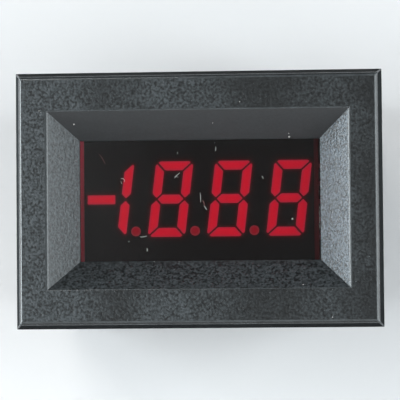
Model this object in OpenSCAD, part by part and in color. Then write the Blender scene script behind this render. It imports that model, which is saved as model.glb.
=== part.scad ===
// Digital panel meter: a small LED meter head that clips into a rectangular panel cut-out.
// X runs to the right, Z up, the display faces -Y and the case runs back along +Y.
// The origin is the middle of the flange's rear face, the face that lies on the panel.

/* [Bezel] */
// Width of the front flange
bezel_w = 50; // [48:0.5:56]
// Height of the front flange
bezel_h = 35; // [34:0.5:42]
// Thickness of the front flange
flange_t = 2.0; // [1.8:0.1:3]
// How far each side of the flange leans in towards the front
edge_draft = 0.6; // [0.2:0.05:0.8]
// Chamfer round the front edge of the flange
edge_chamfer = 0.35; // [0.2:0.05:0.6]
// Width of the sunk frame where it meets the flange
funnel_w = 41.1; // [39:0.1:43]
// Height of the sunk frame where it meets the flange
funnel_h = 24.3; // [22:0.1:26]
// Depth of the sunk frame, from the flange's front to the window
funnel_depth = 4.2; // [3:0.1:5.5]
// Width of the window
window_w = 33; // [31:0.1:34]
// Height of the window
window_h = 16.6; // [15:0.1:17.6]
// Thickness of the window's straight lip
lip_t = 0.5; // [0.3:0.1:1]

/* [Case] */
// Width of the case behind the flange
case_w = 43.6; // [43:0.1:45]
// Height of the case behind the flange
case_h = 30.6; // [30:0.1:32]
// Moulded wall thickness
wall_t = 1.3; // [1:0.1:1.5]
// Outer corner radius of the case
case_r = 1.2; // [0.5:0.1:2]
// Side of the corner ribs that carry the circuit board
rib_size = 2.6; // [2:0.1:3]
// Free space between the tallest component and the rear cover
rear_clearance = 0.4; // [0.2:0.1:4]

/* [Window filter] */
// Thickness of the red filter
filter_t = 1.5; // [1:0.1:2.5]
// Overlap of the filter behind the window's edge
filter_border = 1.8; // [1:0.1:2.2]
// Clearance round the filter in its pocket
filter_clearance = 0.15; // [0.05:0.05:0.3]
// Wall of the filter's pocket
pocket_wall = 0.8; // [0.6:0.1:1]

/* [Display] */
// Width of the display's body
shell_w = 33.05; // [32.6:0.05:34]
// Height of the display's body
shell_h = 18; // [17.2:0.1:19]
// Depth of the display's body
shell_d = 6.4; // [5:0.1:8]
// Sideways offset of the display's body
display_x = -0.28; // [-0.5:0.01:0.5]
// Air gap between the filter and the display
display_gap = 0.3; // [0.1:0.1:1]
// Bare rim of the display's body round its black face
face_rim = 0.62; // [0.3:0.01:1]
// Thickness of the black face
face_t = 0.15; // [0.1:0.05:0.3]
// Height of the feet between the display and the circuit board
display_standoff = 1.2; // [1:0.1:2]
// Height of a digit
digit_h = 10.44; // [9:0.02:11]
// Width of a digit before it leans
digit_w = 5.18; // [4.6:0.02:5.4]
// Distance from one digit to the next
digit_pitch = 8.19; // [7.8:0.01:8.3]
// Lean of the digits
digit_slant = 7; // [0:0.5:10]
// Width of a segment
segment_t = 1.25; // [0.9:0.01:1.4]
// Dark line between two segments
segment_gap = 0.36; // [0.2:0.02:0.5]
// Blunting of the segments' sharp corners
tip_cut = 0.2; // [0.05:0.01:0.3]
// Height of the digits' middle above the window's middle
digit_z = 0.28; // [-0.5:0.01:0.5]
// Offset of the digits to the right of the window's middle
digit_x = -0.1; // [-0.3:0.01:0.3]
// Length of the minus sign
minus_w = 3.85; // [3:0.05:4]
// Gap between the minus sign and the figure one
minus_gap = 0.83; // [0.3:0.01:1.2]
// Diameter of a decimal point
point_d = 1.36; // [1:0.02:1.5]
// Offset of a decimal point to the right of its digit's middle
point_x = 3.35; // [3.2:0.01:3.6]
// Height of a decimal point's middle above the digit's foot
point_rise = 0.8; // [0.6:0.01:1.2]
// Contact pins in each row of the display
display_pins_per_row = 11; // [8:1:11]
// Distance of each pin row from the edge of the display's body
pin_row_inset = 1.38; // [1.3:0.02:2.2]

/* [Circuit board] */
// Thickness of the circuit board
board_t = 1.6; // [1:0.1:2]
// Clearance between the circuit board and the case
board_clearance = 0.2; // [0.1:0.05:0.4]
// Side of the converter chip's body
chip_side = 10; // [8:0.5:10.2]
// Height of the converter chip's body
chip_h = 2.0; // [1.4:0.1:2.8]
// Leads on each side of the converter chip
chip_leads_per_side = 11; // [8:1:11]
// Diameter of the electrolytic capacitors
can_d = 5; // [4:0.1:5.4]
// Height of the electrolytic capacitors
can_h = 7; // [5:0.1:11]
// Length of the film capacitors
film_w = 7.2; // [6:0.1:7.6]
// Thickness of the film capacitors
film_t = 3.5; // [2.5:0.1:4]
// Height of the film capacitors
film_h = 6.5; // [5:0.1:10]
// Side of the trimmer's body
trimmer_side = 6.6; // [6:0.1:6.8]
// Height of the trimmer's body
trimmer_h = 5; // [4:0.1:7]
// Diameter of the trimmer's rotor
rotor_d = 4; // [3:0.1:4.6]
// Radial running clearance of the trimmer's rotor
rotor_clearance = 0.05; // [0.03:0.01:0.1]
// Number of contacts in the rear header
header_pins_n = 5; // [3:1:5]
// Distance from one header contact to the next
header_pitch = 2.5; // [2:0.1:2.54]
// Width of the header's shroud
shroud_w = 5.75; // [5:0.05:6]

/* [Rear cover] */
// Thickness of the rear cover
cover_t = 1.4; // [1:0.1:2]
// Clearance round the rear cover
cover_clearance = 0.1; // [0.05:0.05:0.2]
// Diameter of the hole over the trimmer
access_d = 3.2; // [2.5:0.1:4]
// Width of a snap arm
snap_w = 4; // [3:0.1:4.4]
// Length of a snap arm
snap_l = 5; // [4:0.1:6]

/* [Panel clips] */
// Width of a clip between its rails
clip_w = 9; // [7:0.1:11]
// Length of a clip along the case
clip_l = 9; // [8:0.1:11]
// Distance from the flange to the front of a clip
clip_rest = 5; // [3:0.1:6]
// Height of the rails above the case's side
rail_h = 1.1; // [0.9:0.05:1.3]
// Clearance between a clip and its rails
clip_clearance = 0.12; // [0.05:0.01:0.2]
// Distance from one ratchet tooth to the next
tooth_pitch = 1.0; // [0.8:0.1:1.6]
// How far the clip's foot stays inside the flange's edge
foot_setback = 0.4; // [0.2:0.1:0.8]

/* [Hidden] */
$fn = 48;
eps = 0.01;

// Stations along Y, from the front to the rear
front_y = -flange_t;
window_y = front_y + funnel_depth;
filter_y = window_y + lip_t;
display_y = filter_y + filter_t + display_gap;
shell_y = display_y + face_t;
board_y = shell_y + shell_d + display_standoff;
board_rear = board_y + board_t;
rotor_room = 0.5;
tallest_h = max(can_h, film_h, trimmer_h + rotor_room);
cover_y = board_rear + tallest_h + rear_clearance;
case_end = cover_y + cover_t;

// Inside of the case, and what lies in it
inner_w = case_w - 2 * wall_t;
inner_h = case_h - 2 * wall_t;
filter_w = window_w + 2 * filter_border;
filter_h = window_h + 2 * filter_border;
pocket_w = filter_w + 2 * filter_clearance;
pocket_h = filter_h + 2 * filter_clearance;
board_w = inner_w - 2 * board_clearance;
board_h = inner_h - 2 * board_clearance;

// Display
substrate_t = 1.0;
substrate_clearance = 0.1;
recess_t = substrate_t + 0.2;
recess_wall = 0.9;
well_d = shell_d - recess_t;
led_h = 0.2;
led_side = 0.36;
fill_end = shell_y + well_d - led_h - 0.15;
point_clearance = 0.02;
foot_side = 1.2;
pin_r = 0.25;
pin_hole_r = 0.4;
pin_tail = 1.0;
display_pin_pitch = 2.54;
pin_row_z = shell_h / 2 - pin_row_inset;

// Components on the rear of the board
lead_r = 0.25;
lead_hole_r = 0.4;
lead_tail = 0.8;
can_edge = 0.4;
can_spacing = 1.2;
can_x = (can_d + can_spacing) / 2;
can_z = board_h / 2 - can_edge - can_d / 2;
can_lead_pitch = 2.0;
film_edge = 0.4;
film_spacing = 1.6;
film_x = (film_w + film_spacing) / 2;
film_z = -(board_h / 2 - film_edge - film_t / 2);
film_lead_pitch = 5.0;
trimmer_edge = 0.4;
trimmer_x = -(board_w / 2 - trimmer_edge - trimmer_side / 2);
trimmer_z = 1.0;
trimmer_pin_pitch = 2.3;
header_edge = 1.0;
header_x = board_w / 2 - header_edge - shroud_w / 2;
header_end = 2.45;
header_l = (header_pins_n - 1) * header_pitch + 2 * header_end;
shroud_inset = 0.1;
shroud_h = case_end - shroud_inset - board_rear;
shroud_wall = 0.8;
shroud_floor = 2.0;
contact_side = 0.64;
contact_hole_r = 0.55;
contact_recess = 1.2;
contact_h = shroud_h - contact_recess;
small_chip_w = 4.9;
small_chip_l = 3.9;
small_chip_h = 1.5;
small_chip_shift = 0.4;
small_chip_spacing = 3.4;
small_chip_x = trimmer_x + small_chip_shift;
small_chip_z = trimmer_z - trimmer_side / 2 - small_chip_l / 2 - small_chip_spacing;
chip_foot = 0.1;
lead_t = 0.15;

// Case details
rib_inset = 0.2;
snap_x = 14.2;
snap_t = 1.0;
lug_h = 0.8;
lug_l = 1.6;
lug_y = cover_y - snap_l + 0.3;
snap_window_clearance = 0.25;
post_size = 2.2;
slot_clearance = 0.3;
vent_n = 6;
vent_w = 1.2;
vent_l = 8;
vent_pitch = 2.6;
vent_x = -1.0;

// Panel clips and their rails
case_side = case_w / 2;
rail_t = 0.9;
rail_lip_t = 0.35;
rail_lip_w = 0.7;
rail_y = 2.4;
clip_edge_t = rail_h - rail_lip_t - 2 * clip_clearance;
clip_body_w = clip_w - 2 * (rail_lip_w + clip_clearance);
clip_body_t = 1.7;
foot_l = 1.6;
foot_reach = bezel_w / 2 - foot_setback - case_side;
tooth_h = 0.3;
tooth_w = 3;
clip_relief = tooth_h + clip_clearance;
ridges_n = 3;
ridge_h = 0.35;
ridge_w = 0.6;
ridge_pitch = 1.0;
ridge_end = 0.9;
tongue_root = 2.2;
tongue_slot = 0.5;

// ---- Helpers -------------------------------------------------------------

// A block from y0 to y1 whose width and height change evenly from w0, h0 to w1, h1
module frustum(y0, w0, h0, y1, w1, h1) {
    reach_h = max(h0, h1);
    reach_w = max(w0, w1);
    intersection() {
        translate([0, 0, -reach_h])
            linear_extrude(height = 2 * reach_h)
                polygon([[-w0 / 2, y0], [w0 / 2, y0], [w1 / 2, y1], [-w1 / 2, y1]]);
        rotate([90, 0, 90])
            translate([0, 0, -reach_w])
                linear_extrude(height = 2 * reach_w)
                    polygon([[y0, -h0 / 2], [y0, h0 / 2], [y1, h1 / 2], [y1, -h1 / 2]]);
    }
}

// An outline drawn in X and Z, made solid from y0 to y1
module along_y(y0, y1) {
    translate([0, y1, 0])
        rotate([90, 0, 0])
            linear_extrude(height = y1 - y0)
                children();
}

// A box centred on X and Z, from y0 to y1
module block(w, h, y0, y1) {
    along_y(y0, y1) square([w, h], center = true);
}

// A rectangle with round corners
module round_rect(w, h, r) {
    union() {
        square([w - 2 * r, h], center = true);
        square([w, h - 2 * r], center = true);
        for (sx = [-1, 1])
            for (sy = [-1, 1])
                translate([sx * (w / 2 - r), sy * (h / 2 - r)])
                    circle(r = r);
    }
}

// Stands its children on the rear of the circuit board, their z along +Y
module on_board(x, z) {
    translate([x, board_rear, z]) rotate([-90, 0, 0]) children();
}

// A round pin or hole along Y
module rod_y(x, z, r, y0, y1) {
    translate([x, y0, z]) rotate([-90, 0, 0]) cylinder(r = r, h = y1 - y0);
}

// ---- Digit outlines ------------------------------------------------------

// Leans a point to the right in proportion to its height
function lean(p) = [p[0] + p[1] * tan(digit_slant), p[1]];
function leaned(points) = [for (p = points) lean(p)];

half_w = digit_w / 2;
half_h = digit_h / 2;
gap_shift = segment_gap / sqrt(2);

// Top bar, with its two sharp corners blunted
top_bar = [[-half_w + gap_shift + 2 * tip_cut, half_h],
           [half_w - gap_shift - 2 * tip_cut, half_h],
           [half_w - gap_shift - tip_cut, half_h - tip_cut],
           [half_w - segment_t - gap_shift, half_h - segment_t],
           [-half_w + segment_t + gap_shift, half_h - segment_t],
           [-half_w + gap_shift + tip_cut, half_h - tip_cut]];
// Upper right bar, mitred at the top and pointed at the middle
right_bar = [[half_w, half_h - gap_shift - 2 * tip_cut],
             [half_w - tip_cut, half_h - gap_shift - tip_cut],
             [half_w - segment_t, half_h - segment_t - gap_shift],
             [half_w - segment_t, segment_t / 2 + gap_shift],
             [half_w - segment_t / 2, gap_shift],
             [half_w, segment_t / 2 + gap_shift]];
// Middle bar, pointed at both ends
middle_bar = [[-half_w + segment_t / 2 + gap_shift, 0],
              [-half_w + segment_t + gap_shift, segment_t / 2],
              [half_w - segment_t - gap_shift, segment_t / 2],
              [half_w - segment_t / 2 - gap_shift, 0],
              [half_w - segment_t - gap_shift, -segment_t / 2],
              [-half_w + segment_t + gap_shift, -segment_t / 2]];

function flip_x(points) = [for (p = points) [-p[0], p[1]]];
function flip_z(points) = [for (p = points) [p[0], -p[1]]];

figure_one = [right_bar, flip_z(right_bar)];
figure_eight = [top_bar, right_bar, flip_z(right_bar), flip_z(top_bar),
                flip_x(flip_z(right_bar)), flip_x(right_bar), middle_bar];
minus_x = half_w - segment_t - minus_gap - minus_w / 2;
minus_bar = [[minus_x - minus_w / 2, segment_t / 2], [minus_x + minus_w / 2, segment_t / 2],
             [minus_x + minus_w / 2, -segment_t / 2], [minus_x - minus_w / 2, -segment_t / 2]];

// Middles of the four places, the sign and the figure one first
function place_x(i) = digit_x + (i - 1.5) * digit_pitch;

function middle(points) = [for (k = [0, 1]) (min([for (p = points) p[k]]) + max([for (p = points) p[k]])) / 2];

// Bars of one place, as solids from y0 to y1
module bars(i, outlines, y0, y1) {
    translate([place_x(i), 0, digit_z])
        for (outline = outlines)
            along_y(y0, y1) polygon(leaned(outline));
}

// The three decimal points
module points_at(r, y0, y1) {
    for (i = [0:2])
        rod_y(place_x(i) + point_x, digit_z - half_h + point_rise, r, y0, y1);
}

// Every lit area of the display at once, for cutting
module lit_areas(y0, y1) {
    bars(0, [minus_bar], y0, y1);
    bars(0, figure_one, y0, y1);
    for (i = [1:3])
        bars(i, figure_eight, y0, y1);
    points_at(point_d / 2 + point_clearance, y0, y1);
}

// ---- Front ---------------------------------------------------------------

// Mirrors its children left and right, top and bottom
module four_corners(x, z) {
    for (sx = [-1, 1])
        for (sz = [-1, 1])
            translate([sx * x, 0, sz * z])
                children();
}

// One pair of L-shaped rails, with the ratchet teeth between them, on the right side
module rails() {
    rail_z = clip_w / 2 + clip_clearance;
    for (s = [-1, 1]) {
        translate([case_side - eps, rail_y, s > 0 ? rail_z : -rail_z - rail_t])
            cube([rail_h + eps, case_end - rail_y, rail_t]);
        translate([case_side + rail_h - rail_lip_t, rail_y, s > 0 ? rail_z - rail_lip_w - clip_clearance : -rail_z])
            cube([rail_lip_t, case_end - rail_y, rail_lip_w + clip_clearance]);
    }
    translate([case_side, 0, -tooth_w / 2])
        linear_extrude(height = tooth_w)
            for (y = [rail_y + tooth_pitch:tooth_pitch:case_end - 2 * tooth_pitch])
                polygon([[-eps, y], [tooth_h, y], [-eps, y + tooth_pitch]]);
}

module bezel_case() {
    side_w = bezel_w - 2 * edge_draft;
    side_h = bezel_h - 2 * edge_draft;
    face_w = side_w - 2 * edge_chamfer;
    face_h = side_h - 2 * edge_chamfer;
    bend_y = front_y + edge_chamfer;
    hollow_y = front_y + wall_t;
    color([0.16, 0.17, 0.18])
    difference() {
        union() {
            difference() {
                union() {
                    frustum(front_y, face_w, face_h, bend_y, side_w, side_h);
                    frustum(bend_y, side_w, side_h, 0, bezel_w, bezel_h);
                    along_y(-eps, case_end) round_rect(case_w, case_h, case_r);
                    rails();
                    mirror([1, 0, 0]) rails();
                }
                block(inner_w, inner_h, hollow_y, case_end + eps);
            }
            // Rear of the sunk frame, and the pocket that holds the filter
            frustum(hollow_y - eps, funnel_w + wall_t, funnel_h + wall_t,
                    filter_y, window_w + 2 * wall_t, window_h + 2 * wall_t);
            block(pocket_w + 2 * pocket_wall, pocket_h + 2 * pocket_wall,
                  filter_y - wall_t, filter_y + filter_t);
            // Corner ribs that carry the circuit board
            four_corners(inner_w / 2 - rib_size / 2 + rib_inset / 2, inner_h / 2 - rib_size / 2 + rib_inset / 2)
                block(rib_size + rib_inset, rib_size + rib_inset, hollow_y - eps, board_y);
        }
        frustum(front_y - eps, funnel_w + 2 * eps, funnel_h + 2 * eps, window_y, window_w, window_h);
        block(window_w, window_h, window_y - eps, filter_y + eps);
        block(pocket_w, pocket_h, filter_y, filter_y + filter_t + eps);
        // Windows that the rear cover's lugs click into
        for (sx = [-1, 1])
            translate([sx * snap_x, 0, 0])
                block(snap_w + 2 * snap_window_clearance, case_h + 2 * eps,
                      lug_y - snap_window_clearance, lug_y + lug_l + snap_window_clearance);
    }
}

module window_filter() {
    color([0.45, 0.02, 0.05, 0.6])
        block(filter_w, filter_h, filter_y, filter_y + filter_t);
}

// ---- Display -------------------------------------------------------------

module display_shell() {
    color([0.55, 0.56, 0.58])
    difference() {
        union() {
            translate([display_x, 0, 0])
                block(shell_w, shell_h, shell_y, shell_y + shell_d);
            translate([display_x, 0, 0])
                four_corners(shell_w / 2 - foot_side / 2, shell_h / 2 - foot_side / 2)
                    block(foot_side, foot_side, shell_y + shell_d - eps, board_y);
        }
        translate([display_x, 0, 0])
            block(shell_w - 2 * recess_wall - foot_side / 2, shell_h - 2 * recess_wall,
                  shell_y + well_d, shell_y + shell_d + eps);
        lit_areas(shell_y - eps, shell_y + well_d + eps);
    }
}

module display_face() {
    color([0.05, 0.05, 0.055])
    difference() {
        translate([display_x, 0, 0])
            block(shell_w - 2 * face_rim, shell_h - 2 * face_rim, display_y, shell_y);
        lit_areas(display_y - eps, shell_y + eps);
    }
}

module minus_sign() {
    color([0.85, 0.05, 0.12]) bars(0, [minus_bar], display_y, fill_end);
}

module one_digit() {
    color([0.85, 0.05, 0.12]) bars(0, figure_one, display_y, fill_end);
}

module hundreds_digit() {
    color([0.85, 0.05, 0.12]) bars(1, figure_eight, display_y, fill_end);
}

module tens_digit() {
    color([0.85, 0.05, 0.12]) bars(2, figure_eight, display_y, fill_end);
}

module units_digit() {
    color([0.85, 0.05, 0.12]) bars(3, figure_eight, display_y, fill_end);
}

module decimal_points() {
    color([0.6, 0.08, 0.14]) points_at(point_d / 2, display_y, fill_end);
}

module display_substrate() {
    color([0.2, 0.35, 0.22])
    difference() {
        translate([display_x, 0, 0])
            block(shell_w - 2 * recess_wall - foot_side / 2 - 2 * substrate_clearance,
                  shell_h - 2 * recess_wall - 2 * substrate_clearance,
                  shell_y + well_d, shell_y + well_d + substrate_t);
        display_pin_rods(pin_r, shell_y + well_d - eps, shell_y + shell_d + eps);
    }
}

// One die under each segment and point
module led_at(x, z) {
    translate([x, 0, z]) block(led_side, led_side, shell_y + well_d - led_h, shell_y + well_d);
}

module led_chips() {
    color([0.8, 0.75, 0.55]) {
        translate([place_x(0), 0, digit_z]) {
            led_at(minus_x, 0);
            for (outline = figure_one)
                led_at(lean(middle(outline))[0], middle(outline)[1]);
        }
        for (i = [1:3])
            translate([place_x(i), 0, digit_z])
                for (outline = figure_eight)
                    led_at(lean(middle(outline))[0], middle(outline)[1]);
        for (i = [0:2])
            led_at(place_x(i) + point_x, digit_z - half_h + point_rise);
    }
}

module display_pin_rods(r, y0, y1) {
    for (s = [-1, 1])
        for (i = [0:display_pins_per_row - 1])
            rod_y(display_x + (i - (display_pins_per_row - 1) / 2) * display_pin_pitch,
                  s * pin_row_z, r, y0, y1);
}

module display_pins() {
    color([0.8, 0.8, 0.78])
        display_pin_rods(pin_r, shell_y + well_d + substrate_t / 2, board_rear + pin_tail);
}

// ---- Circuit board -------------------------------------------------------

module can_lead_rods(r, y0, y1) {
    for (sx = [-1, 1])
        for (s = [-1, 1])
            rod_y(sx * can_x + s * can_lead_pitch / 2, can_z, r, y0, y1);
}

module film_lead_rods(r, y0, y1) {
    for (sx = [-1, 1])
        for (s = [-1, 1])
            rod_y(sx * film_x + s * film_lead_pitch / 2, film_z, r, y0, y1);
}

// The trimmer's three pins stand in a triangle
module trimmer_pin_rods(r, y0, y1) {
    for (i = [-1:1])
        rod_y(trimmer_x - (i == 0 ? 0 : trimmer_pin_pitch / 2), trimmer_z + i * trimmer_pin_pitch, r, y0, y1);
}

module header_contact_holes(y0, y1) {
    for (i = [0:header_pins_n - 1])
        rod_y(header_x, (i - (header_pins_n - 1) / 2) * header_pitch, contact_hole_r, y0, y1);
}

module main_board() {
    color([0.1, 0.32, 0.16])
    difference() {
        block(board_w, board_h, board_y, board_rear);
        display_pin_rods(pin_hole_r, board_y - eps, board_rear + eps);
        can_lead_rods(lead_hole_r, board_y - eps, board_rear + eps);
        film_lead_rods(lead_hole_r, board_y - eps, board_rear + eps);
        trimmer_pin_rods(lead_hole_r, board_y - eps, board_rear + eps);
        header_contact_holes(board_y - eps, board_rear + eps);
    }
}

// A moulded chip body: its sides lean in above and below the leads, and a dimple marks pin 1
module chip_body(w, l, h) {
    lean_in = 0.14;
    dimple_r = 0.4;
    dimple_depth = 0.08;
    dimple_inset = 1.0;
    module profile(side) {
        polygon([[-side / 2, (h + lead_t) / 2], [-side / 2 + lean_in, h], [side / 2 - lean_in, h],
                 [side / 2, (h + lead_t) / 2], [side / 2, (h - lead_t) / 2], [side / 2 - lean_in, chip_foot],
                 [-side / 2 + lean_in, chip_foot], [-side / 2, (h - lead_t) / 2]]);
    }
    difference() {
        intersection() {
            translate([0, l / 2, 0]) rotate([90, 0, 0]) linear_extrude(height = l) profile(w);
            translate([-w / 2, 0, 0]) rotate([90, 0, 90]) linear_extrude(height = w) profile(l);
        }
        translate([-w / 2 + dimple_inset, l / 2 - dimple_inset, h - dimple_depth])
            cylinder(r = dimple_r, h = dimple_depth + eps);
    }
}

// A bent lead that leaves a chip's side at half its height and ends flat on the board
module gull_lead(chip_height) {
    t = lead_t;
    out = 0.35;
    foot = 0.6;
    lead_w = 0.3;
    mid = chip_height / 2;
    translate([0, lead_w / 2, 0])
        rotate([90, 0, 0])
            linear_extrude(height = lead_w)
                polygon([[0, mid + t / 2], [out + t, mid + t / 2], [out + t, t], [out + t + foot, t],
                         [out + t + foot, 0], [out, 0], [out, mid - t / 2], [0, mid - t / 2]]);
}

lead_pitch = 0.8;
small_lead_pitch = 1.27;

module converter_chip() {
    color([0.09, 0.09, 0.1]) on_board(0, 0) chip_body(chip_side, chip_side, chip_h);
}

module inverter_chip() {
    color([0.09, 0.09, 0.1])
        on_board(small_chip_x, small_chip_z) chip_body(small_chip_w, small_chip_l, small_chip_h);
}

module chip_leads() {
    color([0.78, 0.78, 0.76]) {
        on_board(0, 0)
            for (turn = [0:90:270])
                rotate([0, 0, turn])
                    for (i = [0:chip_leads_per_side - 1])
                        translate([chip_side / 2, (i - (chip_leads_per_side - 1) / 2) * lead_pitch, 0])
                            gull_lead(chip_h);
        on_board(small_chip_x, small_chip_z)
            for (turn = [90, 270])
                rotate([0, 0, turn])
                    for (i = [0:3])
                        translate([small_chip_l / 2, (i - 1.5) * small_lead_pitch, 0])
                            gull_lead(small_chip_h);
    }
}

// An aluminium can in its sleeve, with the crimp above its base and the vent scored in its top
module can() {
    crimp = 0.25;
    crimp_z = 1.35;
    crimp_flat = 0.3;
    crimp_l = 0.9;
    edge = 0.3;
    sleeve_rim = 0.6;
    score_w = 0.2;
    score_depth = 0.15;
    r = can_d / 2;
    difference() {
        rotate_extrude()
            polygon([[0, 0], [r - edge, 0], [r, edge], [r, crimp_z - crimp_l / 2],
                     [r - crimp, crimp_z - crimp_flat / 2], [r - crimp, crimp_z + crimp_flat / 2],
                     [r, crimp_z + crimp_l / 2], [r, can_h - edge], [r - edge, can_h],
                     [r - sleeve_rim, can_h], [r - sleeve_rim, can_h - score_depth],
                     [0, can_h - score_depth]]);
        for (turn = [0, 90])
            rotate([0, 0, turn])
                translate([-r / 2, -score_w / 2, can_h - 2 * score_depth])
                    cube([r, score_w, score_depth + eps]);
    }
}

module electrolytic_capacitors() {
    color([0.12, 0.16, 0.32])
        for (sx = [-1, 1])
            on_board(sx * can_x, can_z) can();
}

module film_capacitors() {
    color([0.75, 0.3, 0.1])
        for (sx = [-1, 1])
            on_board(sx * film_x, film_z)
                linear_extrude(height = film_h)
                    round_rect(film_w, film_t, 0.5);
}

module capacitor_leads() {
    color([0.8, 0.8, 0.78]) {
        can_lead_rods(lead_r, board_y - lead_tail, board_rear);
        film_lead_rods(lead_r, board_y - lead_tail, board_rear);
    }
}

// Places of the small chip resistors and capacitors, and their size
resistor_at = [[-10.5, 3.6], [-10.5, 0.6], [-10.5, -2.4], [9.6, 3.6], [9.6, 0.6], [9.6, -2.4]];
ceramic_at = [[-8.6, 9.6], [8.6, 9.6], [-12.6, 9.6]];
smd_l = 2.0;
smd_w = 1.25;
smd_end = 0.35;
resistor_h = 0.5;
ceramic_h = 0.9;

module smd_bodies(places, h) {
    for (p = places)
        on_board(p[0], p[1])
            translate([-smd_l / 2 + smd_end, -smd_w / 2, 0])
                cube([smd_l - 2 * smd_end, smd_w, h]);
}

module smd_ends(places, h) {
    for (p = places)
        on_board(p[0], p[1])
            for (s = [-1, 1])
                translate([s * (smd_l - smd_end) / 2 - smd_end / 2, -smd_w / 2, 0])
                    cube([smd_end, smd_w, h]);
}

module smd_resistors() {
    color([0.1, 0.1, 0.12]) smd_bodies(resistor_at, resistor_h);
}

module smd_capacitors() {
    color([0.62, 0.5, 0.36]) smd_bodies(ceramic_at, ceramic_h);
}

module smd_terminals() {
    color([0.82, 0.82, 0.8]) {
        smd_ends(resistor_at, resistor_h);
        smd_ends(ceramic_at, ceramic_h);
    }
}

// ---- Trimmer -------------------------------------------------------------

rotor_seat = 1.2;
rotor_proud = 0.2;
stem_r = 1.0;
stem_l = 2.0;
slot_w = 0.6;
slot_depth = 0.7;

module trimmer_body() {
    color([0.1, 0.25, 0.6])
        on_board(trimmer_x, trimmer_z)
            difference() {
                translate([-trimmer_side / 2, -trimmer_side / 2, 0])
                    cube([trimmer_side, trimmer_side, trimmer_h]);
                translate([0, 0, trimmer_h - rotor_seat])
                    cylinder(r = rotor_d / 2 + rotor_clearance, h = rotor_seat + eps);
                translate([0, 0, trimmer_h - rotor_seat - stem_l - rotor_clearance])
                    cylinder(r = stem_r + rotor_clearance, h = stem_l + rotor_seat);
            }
}

module trimmer_rotor() {
    rotor_h = rotor_seat + rotor_proud;
    color([0.92, 0.92, 0.9])
        on_board(trimmer_x, trimmer_z)
            difference() {
                union() {
                    translate([0, 0, trimmer_h - rotor_seat])
                        cylinder(r = rotor_d / 2, h = rotor_h);
                    translate([0, 0, trimmer_h - rotor_seat - stem_l])
                        cylinder(r = stem_r, h = stem_l + eps);
                }
                translate([0, 0, trimmer_h + rotor_proud - slot_depth / 2 + eps]) {
                    cube([rotor_d * 0.8, slot_w, slot_depth + 2 * eps], center = true);
                    cube([slot_w, rotor_d * 0.8, slot_depth + 2 * eps], center = true);
                }
            }
}

module trimmer_pins() {
    color([0.8, 0.8, 0.78]) trimmer_pin_rods(lead_r, board_y - lead_tail, board_rear);
}

// ---- Header --------------------------------------------------------------

module header_shroud() {
    key_w = 1.4;
    key_depth = 3;
    color([0.92, 0.9, 0.84])
        translate([header_x, 0, 0])
            difference() {
                block(shroud_w, header_l, board_rear, board_rear + shroud_h);
                block(shroud_w - 2 * shroud_wall, header_l - 2 * shroud_wall,
                      board_rear + shroud_floor, board_rear + shroud_h + eps);
                // Two keyways in the outer wall
                for (s = [-1, 1])
                    translate([shroud_w / 2 - shroud_wall / 2, board_rear + shroud_h - key_depth / 2 + eps,
                               s * (header_l / 2 - header_end)])
                        cube([shroud_wall + 2 * eps, key_depth, key_w], center = true);
                for (i = [0:header_pins_n - 1])
                    translate([0, 0, (i - (header_pins_n - 1) / 2) * header_pitch])
                        block(contact_side, contact_side, board_rear - eps, board_rear + shroud_floor + eps);
            }
}

module header_pins() {
    color([0.85, 0.84, 0.78])
        for (i = [0:header_pins_n - 1])
            translate([header_x, 0, (i - (header_pins_n - 1) / 2) * header_pitch])
                block(contact_side, contact_side, board_y - lead_tail, board_rear + contact_h);
}

// ---- Rear cover ----------------------------------------------------------

module rear_cover() {
    cover_w = inner_w - 2 * cover_clearance;
    cover_h = inner_h - 2 * cover_clearance;
    color([0.14, 0.15, 0.16])
    difference() {
        union() {
            block(cover_w, cover_h, cover_y, case_end);
            // Posts that press the circuit board onto its ribs
            four_corners(cover_w / 2 - post_size / 2, cover_h / 2 - post_size / 2)
                block(post_size, post_size, board_rear, cover_y + eps);
            // Snap arms and their lugs
            for (sx = [-1, 1])
                for (sz = [-1, 1])
                    translate([sx * snap_x - snap_w / 2, 0, 0])
                        mirror([0, 0, sz < 0 ? 1 : 0])
                            snap_arm(cover_h / 2);
        }
        rod_y(trimmer_x, trimmer_z, access_d / 2, cover_y - eps, case_end + eps);
        translate([header_x, 0, 0])
            block(shroud_w + 2 * slot_clearance, header_l + 2 * slot_clearance,
                  cover_y - eps, case_end + eps);
        // Vents over the converter chip
        for (i = [0:vent_n - 1])
            translate([vent_x + (i - (vent_n - 1) / 2) * vent_pitch, 0, 0])
                along_y(cover_y - eps, case_end + eps)
                    round_rect(vent_w, vent_l, vent_w / 2 - eps);
    }
}

// One arm along the top wall, its lug pointing up
module snap_arm(top_z) {
    rotate([90, 0, 90])
        linear_extrude(height = snap_w)
            polygon([[cover_y + eps, top_z - snap_t], [cover_y + eps, top_z],
                     [lug_y + lug_l, top_z], [lug_y + lug_l, top_z + lug_h],
                     [lug_y, top_z], [cover_y - snap_l, top_z], [cover_y - snap_l, top_z - snap_t]]);
}

// ---- Panel clips ---------------------------------------------------------

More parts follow.
